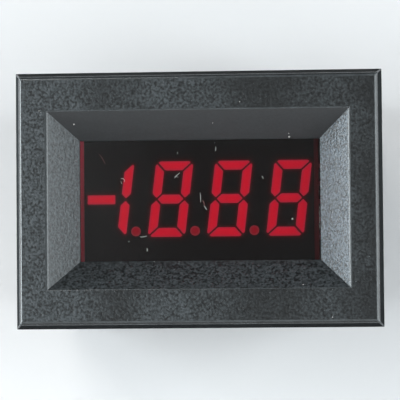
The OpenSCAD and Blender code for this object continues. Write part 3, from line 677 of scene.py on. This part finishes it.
def black_face():
    """Grid of corners over the face at its front, 0.3 mm past it above and below where the paint laps
    round the body, with a second, coarse layer closing the back."""
    nx, nz = 190, 100
    x = np.linspace(face_low[0], face_high[0], nx)
    z = np.linspace(face_low[2] - paint_lap, face_high[2] + paint_lap, nz)
    gx, gz = np.meshgrid(x, z)
    gy = np.full_like(gx, face_low[1] + paint_back)
    front = np.stack([gx, gy, gz], axis=-1).reshape(-1, 3)
    cell = (np.arange(nz - 1)[:, None] * nx + np.arange(nx - 1)).reshape(-1)
    quads = np.stack([cell, cell + 1, cell + nx + 1, cell + nx], axis=1).tolist()
    rim = np.concatenate([np.arange(nx), nx * np.arange(1, nz) + nx - 1,
                          nx * (nz - 1) + np.arange(nx - 2, -1, -1), nx * np.arange(nz - 2, 0, -1)])
    back = front[rim] + [0, face_high[1] - face_low[1] - paint_back, 0]
    start, n = len(front), len(rim)
    ring = np.arange(n)
    wall = [rim, start + ring, start + np.roll(ring, -1), np.roll(rim, -1)]
    quads += np.stack(wall, axis=1).tolist()
    quads.append((start + ring).tolist())
    verts = np.concatenate([front, back])
    piece = finish_mesh("display_paint", verts * MM, quads, False)
    near = np.exp(-distance_to(verts[:, [0, 2]], lit) / 0.16)
    layer = piece.data.attributes.new("glow", "FLOAT", "POINT")
    layer.data.foreach_set("value", near.astype(np.float32))
    return piece


def paint_finish():
    """Black paint with a painted red glow: its colour and its emission turn red with the glow
    attribute.
    """
    material, tree, shader, coords = new_finish("black_paint")
    speck = grain(tree, coords, 0.2, 3)
    amount = combine(tree, "MULTIPLY", carried(tree, "glow"), spread(tree, speck, 0.7, 1.3))
    colour = blend(tree, amount, [(0.0, (0.0006, 0.002, 0.001)), (1.0, (0.06, 0.005, 0.012))])
    coat(tree, shader, colour, spread(tree, speck, 0.45, 0.65))
    tree.links.new(blend(tree, amount, [(0.0, BLACK), (1.0, (0.055, 0.001, 0.004))]),
                   shader.inputs["Emission Color"])
    shader.inputs["Emission Strength"].default_value = 1.0
    set_shine(material, 0.04)
    relief(tree, shader, speck, 0.004)
    return material


dress(black_face(), "meter", "display_black", paint_finish(), "display_face")

# %% [markdown]
# Behind the paint is the display's grey body, with its own circuit board, chips and pins. Their
# solids have the right shape, so they keep it and get a finish each.

# %% Finishes of the display's inner parts
def finish_node(node, finish):
    """Puts a finish on a solid that keeps its shape."""
    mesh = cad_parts[node].data
    mesh.materials.clear()
    mesh.materials.append(finish)
    print(node, "wears", finish.name)


def shell_finish():
    """Grey moulded body with a painted glow on its left strip, stronger towards the top, and painted
    shade that darkens its right strip.
    """
    material, tree, shader, coords = new_finish("display_grey")
    fine = grain(tree, coords, 0.12, 2)
    place = split(tree, coords)
    # left is the strip given the painted glow; right is the strip darkened as painted shade.
    left = combine(tree, "LESS_THAN", place["X"], -16 * MM)
    right = combine(tree, "GREATER_THAN", place["X"], 15.5 * MM)
    share = combine(tree, "ADD", combine(tree, "MULTIPLY", fine, 0.3),
                    combine(tree, "MULTIPLY", right, 0.6))
    colour = blend(tree, share, [(0.05, (0.42, 0.42, 0.43)), (0.3, (0.54, 0.54, 0.55)),
                                 (0.6, (0.06, 0.05, 0.05))])
    coat(tree, shader, colour, spread(tree, fine, 0.4, 0.55))
    # The painted glow is at a quarter of its strength up to the middle and grows to full 9 mm above it.
    high = combine(tree, "MULTIPLY", place["Z"], 1 / (9 * MM))
    painted_glow = combine(tree, "MULTIPLY", left, spread(tree, high, 0.25, 1.0))
    tree.links.new(blend(tree, painted_glow, [(0.0, BLACK), (1.0, (0.13, 0.12, 0.12))]),
                   shader.inputs["Emission Color"])
    shader.inputs["Emission Strength"].default_value = 1.0
    relief(tree, shader, fine, 0.003)
    return material


finish_node("display_shell", shell_finish())
finish_node("display_substrate",
            plain_finish("display_laminate", (0.05, 0.11, 0.05), (0.09, 0.17, 0.07),
                         0.2, 0.003, (0.3, 0.5), stretch=(1, 1, 3)))
finish_node("led_chips", plain_finish("led_crystal", (0.55, 0.42, 0.20), (0.75, 0.62, 0.35),
                                      0.05, 0.001, (0.15, 0.3)))
tin = plain_finish("tinned_metal", (0.56, 0.56, 0.55), (0.74, 0.74, 0.72),
                   0.15, 0.003, (0.18, 0.42), metal=1.0)
finish_node("display_pins", tin)

# %% [markdown]
# The main board is green glass-fibre laminate under solder mask. Copper tracks show through the
# mask as slightly raised, paler lines. A wave of thin stripes, cut up by noise, reads as tracks
# without drawing any real circuit, and the weave of the glass is a fine stretched grain.

# %% Circuit board
def board_finish():
    """Solder mask over tracks: stripes in two directions, chosen by coarse noise, raise and pale
    the green."""
    material, tree, shader, coords = new_finish("board_laminate")
    region = grain(tree, coords, 5.0, 1)
    lines = []
    for axis in ("X", "Z"):
        wave = tree.nodes.new("ShaderNodeTexWave")
        wave.bands_direction = axis
        wave.inputs["Scale"].default_value = 1 / (20 * 1.1 * MM)
        wave.inputs["Distortion"].default_value = 0.0
        tree.links.new(coords, wave.inputs["Vector"])
        lines.append(combine(tree, "GREATER_THAN", wave.outputs["Fac"], 0.72))
    pick = combine(tree, "GREATER_THAN", region, 0.5)
    first = combine(tree, "MULTIPLY", lines[0], pick)
    second = combine(tree, "MULTIPLY", lines[1], combine(tree, "SUBTRACT", 1.0, pick))
    tracks = combine(tree, "ADD", first, second)
    weave = grain(tree, coords, 0.25, 2, (1, 1, 4))
    tone = combine(tree, "ADD", combine(tree, "MULTIPLY", tracks, 0.6),
                   combine(tree, "MULTIPLY", weave, 0.3))
    colour = blend(tree, tone, [(0.1, (0.012, 0.085, 0.034)), (0.9, (0.045, 0.21, 0.085))])
    coat(tree, shader, colour, spread(tree, weave, 0.22, 0.38))
    raised = relief(tree, shader, tracks, 0.03)
    relief(tree, shader, weave, 0.004, raised)
    return material


finish_node("main_board", board_finish())

# %% [markdown]
# Each lead that passes through the board is held by a fillet of solder: wide on its pad, and
# climbing the lead in a hollow curve. It is a profile turned round the lead, with radius
# r(h) = lead + (pad - lead) (1 - h)^2.5 as the height h goes from 0 to 1.

# %% Solder fillets
board_low, board_high = box_mm("main_board")


def fillet(middle, lead, pad, y, up):
    """Rings of a fillet on the board at depth y that climbs by up mm, below 0 to the front."""
    h = np.linspace(0, 1, 7)
    return circles(*middle, lead + (pad - lead) * (1 - h) ** 2.5, y + up * h, 16)


display_x, row_z = -0.28, 7.62
can_x, can_z = 3.1, 10.9
rows = [(display_x + (i - 5) * 2.54, s * row_z) for s in (-1, 1) for i in range(11)]
cans = [(sx * can_x + s * 1.0, can_z) for sx in (-1, 1) for s in (-1, 1)]
films = [(sx * 4.4 + s * 2.5, -11.65) for sx in (-1, 1) for s in (-1, 1)]
trims = [(-16.6 - (0 if i == 0 else 1.15), 1.0 + i * 2.3) for i in (-1, 0, 1)]
heads = [(16.425, (i - 2) * 2.5) for i in range(5)]
joints = [fillet(p, 0.26, 0.72, board_high[1], 0.7) for p in rows]
joints += [fillet(p, 0.26, 0.75, board_low[1], -0.6) for p in cans + films + trims]
joints += [fillet(p, 0.40, 0.95, board_low[1], -0.6) for p in heads]
solder = plain_finish("solder", (0.60, 0.60, 0.59), (0.80, 0.80, 0.78),
                      0.3, 0.004, (0.12, 0.30), metal=1.0)
dress(loft("solder_joints", joints), "meter", "tinned_metal", solder)

# %% [markdown]
# The parts on the board: moulded chips with a matt, slightly sparkling skin, cans in a shrunk
# plastic sleeve with a pale stripe at their negative side, glossy dipped film capacitors, and
# ceramic blocks between tinned ends.

# %% Components
chip_plastic = plain_finish("chip_plastic", (0.012, 0.012, 0.013), (0.028, 0.028, 0.030),
                            0.09, 0.004, (0.42, 0.62))
for node, finish in (("converter_chip", chip_plastic), ("inverter_chip", chip_plastic),
                     ("chip_leads", tin), ("capacitor_leads", tin), ("trimmer_pins", tin),
                     ("smd_terminals", solder)):
    finish_node(node, finish)
finish_node("smd_resistors", plain_finish("resistor_glaze", (0.010, 0.010, 0.013),
                                          (0.024, 0.024, 0.028), 0.2, 0.002, (0.15, 0.3)))
finish_node("smd_capacitors", plain_finish("ceramic_body", (0.30, 0.20, 0.11),
                                           (0.40, 0.28, 0.16), 0.1, 0.003, (0.4, 0.6)))


def sleeve_finish():
    """Dark blue shrunk sleeve, with a pale stripe along the outer side of each can."""
    material, tree, shader, coords = new_finish("can_sleeve")
    place = split(tree, coords)
    side = combine(tree, "ABSOLUTE", place["X"], 0.0)
    height = combine(tree, "ABSOLUTE", combine(tree, "SUBTRACT", place["Z"], can_z * MM), 0.0)
    stripe = combine(tree, "MULTIPLY", combine(tree, "GREATER_THAN", side, 4.9 * MM),
                     combine(tree, "LESS_THAN", height, 0.9 * MM))
    drift = grain(tree, coords, 1.2, 2)
    tone = combine(tree, "ADD", combine(tree, "MULTIPLY", drift, 0.3),
                   combine(tree, "MULTIPLY", stripe, 0.7))
    colour = blend(tree, tone, [(0.05, (0.008, 0.016, 0.060)), (0.35, (0.014, 0.028, 0.095)),
                                (0.7, (0.42, 0.44, 0.50))])
    coat(tree, shader, colour, spread(tree, drift, 0.22, 0.36))
    relief(tree, shader, drift, 0.01)
    return material


finish_node("electrolytic_capacitors", sleeve_finish())
finish_node("film_capacitors", plain_finish("film_resin", (0.36, 0.075, 0.012),
                                            (0.50, 0.12, 0.025), 0.5, 0.010, (0.12, 0.28)))

# %% [markdown]
# The tops of the cans are bare aluminium inside the sleeve's rim. A disc that bulges by a few
# hundredths of a millimetre, z = b (1 - (r / R)^2), lies in each.

# %% Tops of the cans
can_low, can_high = box_mm("electrolytic_capacitors")


def can_top(x, z):
    """Rings of a slightly domed disc of radius 1.88 mm that ends flush with the sleeve's rim."""
    bulge = np.array([0, 0.05, 0.09, 0.12, 0.135, 0.14])
    return circles(x, z, [1.88, 1.88, 1.5, 1.0, 0.5, 0.12], can_high[1] - 0.15 + bulge, 32)


aluminium = plain_finish("can_aluminium", (0.62, 0.63, 0.64), (0.80, 0.81, 0.82),
                         0.12, 0.003, (0.25, 0.42), metal=1.0, stretch=(6, 1, 1))
dress(loft("can_tops", [can_top(s * can_x, can_z) for s in (-1, 1)]),
      "meter", "tinned_metal", aluminium)

# %% [markdown]
# The trimmer sets the meter's scale: a blue block with a white rotor in a round seat, turned with
# a screwdriver through the hole in the rear cover. The rotor is a body of its own, so its copy
# rides on the rotor's body and turns with it.

# %% Trimmer
def even(a, b):
    """All of the bevel on every sharp edge."""
    return np.full(len(a), 1.0)


trim_blue = plain_finish("trimmer_blue", (0.012, 0.075, 0.30), (0.022, 0.11, 0.40),
                         0.15, 0.004, (0.28, 0.42))
trim_white = plain_finish("rotor_white", (0.66, 0.66, 0.62), (0.78, 0.78, 0.74),
                          0.15, 0.003, (0.3, 0.45))
dress(rounded_copy("trimmer_body", 0.08, even, 2),
      "meter", "trimmer_blue", trim_blue, "trimmer_body")
dress(rounded_copy("trimmer_rotor", 0.04, even, 2),
      "rotor", "rotor_white", trim_white, "trimmer_rotor")

# %% [markdown]
# The header is natural nylon, a warm white that light enters a little way. Its square contacts are
# tinned and stand in a row down the middle.

# %% Header
def nylon_finish():
    """Warm white nylon: light scatters under the skin for about a third of a millimetre."""
    material, tree, shader, coords = new_finish("header_nylon")
    drift = grain(tree, coords, 1.0, 3)
    fine = grain(tree, coords, 0.12, 2)
    colour = blend(tree, drift, [(0.3, (0.60, 0.57, 0.48)), (0.7, (0.70, 0.67, 0.58))])
    coat(tree, shader, colour, spread(tree, fine, 0.32, 0.46))
    shader.inputs["Subsurface Weight"].default_value = 0.25
    shader.inputs["Subsurface Scale"].default_value = 0.3 * MM
    relief(tree, shader, fine, 0.003)
    return material


def pin_tips(a, b):
    """The bevel only at the pins' rear ends."""
    return ((a[:, 1] > 15) | (b[:, 1] > 15)) * 1.0


dress(rounded_copy("header_shroud", 0.07, even, 2),
      "meter", "header_nylon", nylon_finish(), "header_shroud")
dress(rounded_copy("header_pins", 0.10, pin_tips, 2),
      "meter", "tinned_metal", tin, "header_pins")

# %% [markdown]
# The rear cover snaps into the end of the case. It comes from a smoother mould than the bezel, so
# its grain is finer. Its hole, its header slot and its vents get small radii, and a faint round
# witness mark of the ejector pins is left where they pushed it out.

# %% Rear cover
cover_rear = 22.65


def cover_edges(a, b):
    """The bevel only round the cover's rear face."""
    return ((a[:, 1] > cover_rear - 0.05) & (b[:, 1] > cover_rear - 0.05)) * 1.0


cover_plastic = case_finish("cover_plastic", (0.018, 0.019, 0.021), (0.036, 0.039, 0.042))
dress(rounded_copy("rear_cover", 0.09, cover_edges, 3),
      "meter", "cover_plastic", cover_plastic, "rear_cover")


def witness_ring(x, z, radius):
    """A ring just under the cover's skin, whose round section barely breaks the surface."""
    u = np.linspace(0, 2 * np.pi, 49)[:-1]
    v = np.linspace(0, 2 * np.pi, 9)[:-1]
    r = radius + 0.06 * np.cos(v)
    y = np.broadcast_to(cover_rear - 0.045 + 0.04 * np.sin(v), (48, 8))
    return np.stack([x + np.cos(u)[:, None] * r, y, z + np.sin(u)[:, None] * r], axis=-1)


def closed_loft(name, stacks):
    """Like a loft, but the last ring joins the first: a closed tube that needs no caps."""
    verts, faces, start = [], [], 0
    for rings in stacks:
        count, points = rings.shape[:2]
        here = start + np.arange(count * points).reshape(count, points)
        right, up = np.roll(here, -1, axis=1), np.roll(here, -1, axis=0)
        quads = np.stack([here, right, np.roll(right, -1, axis=0), up], axis=-1)
        faces += quads.reshape(-1, 4).tolist()
        verts.append(rings.reshape(-1, 3))
        start += count * points
    return finish_mesh(name, np.concatenate(verts) * MM, faces, True)


marks = [witness_ring(x, z, 1.25) for x in (-18.0, 9.6) for z in (-11.0, 11.0)]
dress(closed_loft("ejector_marks", marks), "meter", "cover_plastic", cover_plastic)

# %% [markdown]
# A clip slides along each side of the case and grips the panel's rear. It is tough black nylon,
# rubbed a little shiny, and it moves, so each copy rides on its own body.

# %% Panel clips
clip_nylon = plain_finish("clip_nylon", (0.014, 0.014, 0.015), (0.030, 0.031, 0.033),
                          0.14, 0.006, (0.30, 0.48))
for side in ("left", "right"):
    dress(rounded_copy(side + "_clip", 0.06, even, 2),
          "clip_" + side, "clip_plastic", clip_nylon, side + "_clip")

# %% [markdown]
# The meter has lain about for a while: there is lint on the window and a speck or two of dust on
# the frame. A fibre is a thin tube along a curved path. With the path's direction T and the
# window's normal N, every ring of the tube is p + r (cos t (T x N) + sin t N).

# %% Dust and lint
def fibre(start, end, sag, radius, y):
    """Tube along a bowed path from start to end: p(s) = a + s (b - a) + sag 4 s (1 - s) across it."""
    s = np.linspace(0, 1, 14)[:, None]
    a, b = np.array(start), np.array(end)
    cross = np.array([-(b - a)[1], (b - a)[0]]) / np.linalg.norm(b - a)
    flat = a + s * (b - a) + sag * 4 * s * (1 - s) * cross
    path = np.stack([flat[:, 0], np.full(14, y - radius), flat[:, 1]], axis=1)
    ahead = np.gradient(path, axis=0)
    ahead /= np.linalg.norm(ahead, axis=1)[:, None]
    normal = np.array([0.0, -1.0, 0.0])
    beside = np.cross(ahead, normal)
    t = np.linspace(0, 2 * np.pi, 6, endpoint=False)
    r = radius * np.sin(np.pi * np.clip(s, 0.06, 0.94)) ** 0.35
    around = np.cos(t)[:, None] * beside[:, None] + np.sin(t)[:, None] * normal
    return path[:, None] + r[:, None] * around


def speck(x, y, z, size, seed):
    """Squashed ball with an uneven outline: radius = size (1 + 0.25 sin(3 u + seed))."""
    v = np.linspace(0.15, np.pi - 0.15, 6)[:, None]
    u = np.linspace(0, 2 * np.pi, 10, endpoint=False)
    r = size * (1 + 0.25 * np.sin(3 * u + seed)) * np.sin(v)
    depth = y - 0.4 * size * np.cos(v) * np.ones(10) - 0.35 * size
    return np.stack([x + r * np.cos(u), depth, z + r * np.sin(u)], axis=-1)


front_y = window_low[1]
hairs = [((-10.9, 3.1), (-10.4, 2.65), 0.22, 0.035), ((-10.88, 2.75), (-10.72, 2.35), -0.04, 0.025),
         ((-8.3, -4.95), (-7.35, -4.82), -0.05, 0.045), ((-3.5, 3.08), (-2.75, 3.8), 0.05, 0.035),
         ((-3.45, 3.3), (-2.95, 3.2), 0.02, 0.025), ((0.02, 1.05), (0.08, -0.30), 0.03, 0.035),
         ((0.52, -0.75), (0.90, -1.35), 0.03, 0.045), ((8.52, 3.25), (8.70, 2.85), 0.03, 0.040),
         ((2.22, 7.35), (2.18, 6.75), 0.03, 0.045), ((-7.36, -6.5), (-7.34, -6.95), 0.02, 0.05),
         ((-3.05, 6.7), (-3.05, 6.4), 0.0, 0.022), ((16.32, -0.9), (16.36, -4.2), 0.01, 0.014)]
scuffs = [((-13.87, 6.52), (-13.05, 5.13), 0.06, 0.030), ((0.35, 0.0), (0.62, -0.75), 0.05, 0.06)]
lint, scratch = ([fibre(*row, front_y) for row in rows_of] for rows_of in (hairs, scuffs))
dots = [(-9.85, -5.58, 0.05), (2.10, 7.9, 0.04), (12.65, -2.69, 0.13)]
bits = [speck(x, front_y, z, size, 1.7 * i) for i, (x, z, size) in enumerate(dots)]


def slope_depth(z):
    """Depth of the slope above or below the window, at a height z."""
    return 2.15 - (abs(z) - 8.3) / (12.15 - 8.3) * 4.15


on_slopes = [(12.35, 8.52, 0.13, 1.1), (12.30, 8.95, 0.08, 2.0), (-17.0, 10.46, 0.10, 0.4),
             (2.0, 10.4, 0.06, 1.0), (14.1, -11.7, 0.07, 2.2), (-6.34, -8.35, 0.05, 0.9),
             (-2.93, -8.35, 0.04, 2.8), (-10.9, -8.4, 0.04, 1.9)]
on_flange = [(-21.54, 12.23, 0.06, 2.0), (-21.3, 12.0, 0.04, 3.0), (5.8, 13.1, 0.07, 1.5),
             (18.0, -16.1, 0.07, 2.6)]
on_frame = [speck(x, slope_depth(z), z, size, seed) for x, z, size, seed in on_slopes]
on_frame += [speck(x, -2.0, z, size, seed) for x, z, size, seed in on_flange]
pale_dust = plain_finish("pale_dust", (0.42, 0.40, 0.38), (0.62, 0.60, 0.58),
                         0.1, 0.004, (0.7, 0.9))
dress(loft("window_dust", lint + bits), "meter", "red_filter", pale_dust)
dress(loft("frame_dust", on_frame), "meter", "case_plastic", pale_dust)
scuff = plain_finish("red_scuff", (0.16, 0.05, 0.05), (0.20, 0.07, 0.07),
                     0.1, 0.004, (0.6, 0.8))
dress(loft("window_scratch", scratch), "meter", "red_filter", scuff)

# %% [markdown]
# The meter lies on its back on a pale table, so the table is a sheet just behind the case. It shows
# only from the front: from behind, and to the lamps, it isn't there, so the rear can be seen and
# lit as well. A pale floor lies further below for the other views.

# %% Table and floor
def pale_surface(name, colour, glow=0.0):
    """Diffuse from its front to the eye and to reflections, and clear from behind and to other rays.
    glow is the pale tone that a surface far from the lamps keeps."""
    material, tree, shader, coords = new_finish(name)
    tree.nodes.remove(shader)
    shape = tree.nodes.new("ShaderNodeNewGeometry")
    turned = combine(tree, "SUBTRACT", 1.0, shape.outputs["Backfacing"])
    front = combine(tree, "MULTIPLY", seen_rays(tree), turned)
    clear = tree.nodes.new("ShaderNodeBsdfTransparent")
    matt = tree.nodes.new("ShaderNodeBsdfDiffuse")
    drift = grain(tree, coords, 60, 2)
    lighter = tuple(c * 1.01 for c in colour)
    tree.links.new(blend(tree, drift, [(0.3, colour), (0.7, lighter)]), matt.inputs["Color"])
    own = tree.nodes.new("ShaderNodeEmission")
    own.inputs["Color"].default_value = (*colour, 1)
    own.inputs["Strength"].default_value = glow
    both = tree.nodes.new("ShaderNodeAddShader")
    tree.links.new(matt.outputs["BSDF"], both.inputs[0])
    tree.links.new(own.outputs["Emission"], both.inputs[1])
    surface_mix(tree, front, clear.outputs["BSDF"], both.outputs["Shader"])
    return material


def flat_sheet(name, corners, finish):
    """One face with its normal by the right hand rule, and its finish."""
    mesh = bpy.data.meshes.new(name)
    mesh.from_pydata(corners, [], [(0, 1, 2, 3)])
    mesh.materials.append(finish)
    piece = bpy.data.objects.new(name, mesh)
    bpy.context.scene.collection.objects.link(piece)
    return piece


pale = (0.735, 0.72, 0.725)
table_y, floor_z = cad_high[1] + 0.3 * MM, -0.2
flat_sheet("table", [(-1, table_y, floor_z), (1, table_y, floor_z), (1, table_y, 1),
                     (-1, table_y, 1)],
           pale_surface("pale_card", pale))
flat_sheet("floor", [(-9, -9, floor_z), (9, -9, floor_z), (9, 9, floor_z), (-9, 9, floor_z)],
           pale_surface("pale_floor", pale, 0.75))

# %% [markdown]
# Soft studio light: a pale room and six softboxes. The left one draws the bright line along the
# left edge and fills the right slope of the sunk frame; the right one is weaker. Two in front
# light the flange, a high one throws the soft shadow down and to the right, and one stands behind.
# Three dark cards and four black flags, all out of the camera's sight, keep what the meter mirrors
# dark, so the window stays black. The card in front is paler towards its left end.

# %% Lamps and cards
def softbox(name, direction, distance, width, height, strength, tint):
    """Area lamp that looks at the meter from a direction. Its power is pi x area x strength."""
    lamp = bpy.data.lights.new(name, "AREA")
    lamp.shape = "RECTANGLE"
    lamp.size, lamp.size_y = width, height
    lamp.energy = math.pi * width * height * strength
    lamp.color = tint
    holder = bpy.data.objects.new(name, lamp)
    bpy.context.scene.collection.objects.link(holder)
    towards = Vector(direction).normalized()
    holder.location = towards * distance
    holder.rotation_mode = "QUATERNION"
    holder.rotation_quaternion = towards.to_track_quat("Z", "Y")
    print(name, "power", round(lamp.energy, 2), "W")
    return holder


cool, neutral = (0.89, 0.97, 1.0), (1.0, 0.98, 0.94)
softbox("left_box", (-1.0, 0.03, 0.10), 0.40, 0.30, 0.34, 15.0, cool)
softbox("right_box", (1.0, -0.18, 0.0), 0.42, 0.28, 0.34, 4.4, cool)
softbox("front_left_box", (-0.60, -0.80, 0.0), 0.50, 0.22, 0.34, 4.2, cool)
softbox("front_right_box", (0.80, -0.60, 0.0), 0.50, 0.26, 0.34, 5.2, cool)
softbox("key_box", (-0.30, -0.50, 0.80), 0.60, 0.30, 0.30, 25.0, neutral)
softbox("rear_box", (0.4, 1.0, 0.5), 0.6, 0.4, 0.3, 5.0, neutral)


def dark_card(name, middle, normal, width, height, shade, left=None):
    """Dark card that throws its reflection on the meter but is out of the camera's sight. Where
    left is given, the card fades to that shade at x = -75 mm, from its own at x = -35 mm."""
    material, tree, shader, coords = new_finish(name + "_paper")
    shader.inputs["Base Color"].default_value = (*[shade] * 3, 1)
    shader.inputs["Roughness"].default_value = 1.0
    if left is not None:
        x = split(tree, coords)["X"]
        along = combine(tree, "ADD", combine(tree, "MULTIPLY", x, 1 / (40 * MM)), 75 / 40)
        fade = blend(tree, along, [(0.0, (left,) * 3), (1.0, (shade,) * 3)])
        tree.links.new(fade, shader.inputs["Base Color"])
    turn = Vector(normal).to_track_quat("Z", "Y")
    corners = [Vector(middle) + turn @ Vector((x * width / 2, y * height / 2, 0))
               for x, y in ((-1, -1), (1, -1), (1, 1), (-1, 1))]
    card = flat_sheet(name, [tuple(c) for c in corners], material)
    card.visible_camera = False
    return card


dark_card("front_card", (0.05, -0.45, 0.0), (0, 1, 0), 0.30, 0.45, 0.225, 0.42)
dark_card("top_card", (0.0, -0.05, 0.33), (0, 0, -1), 0.5, 0.5, 0.10)
dark_card("low_card", (0.0, -0.05, -0.19), (0, 0, 1), 0.4, 0.4, 0.5)
dark_card("front_flag", (0.0, -0.90, 0.0), (0, 1, 0), 2.0, 2.0, 0.10)
dark_card("left_flag", (-0.85, -0.40, 0.0), (1, 0, 0), 1.0, 2.0, 0.10)
dark_card("right_flag", (0.85, -0.40, 0.0), (-1, 0, 0), 1.0, 2.0, 0.10)
dark_card("high_flag", (0.0, -0.40, 0.95), (0, 0, -1), 1.8, 1.2, 0.10)

world = bpy.data.worlds.new("studio")
world.use_nodes = True
sky = world.node_tree.nodes["Background"]
sky.inputs["Color"].default_value = (0.80, 0.82, 0.84, 1)
bright = spread(world.node_tree, seen_rays(world.node_tree), 0.12, 0.95)
world.node_tree.links.new(bright, sky.inputs["Strength"])
bpy.context.scene.world = world
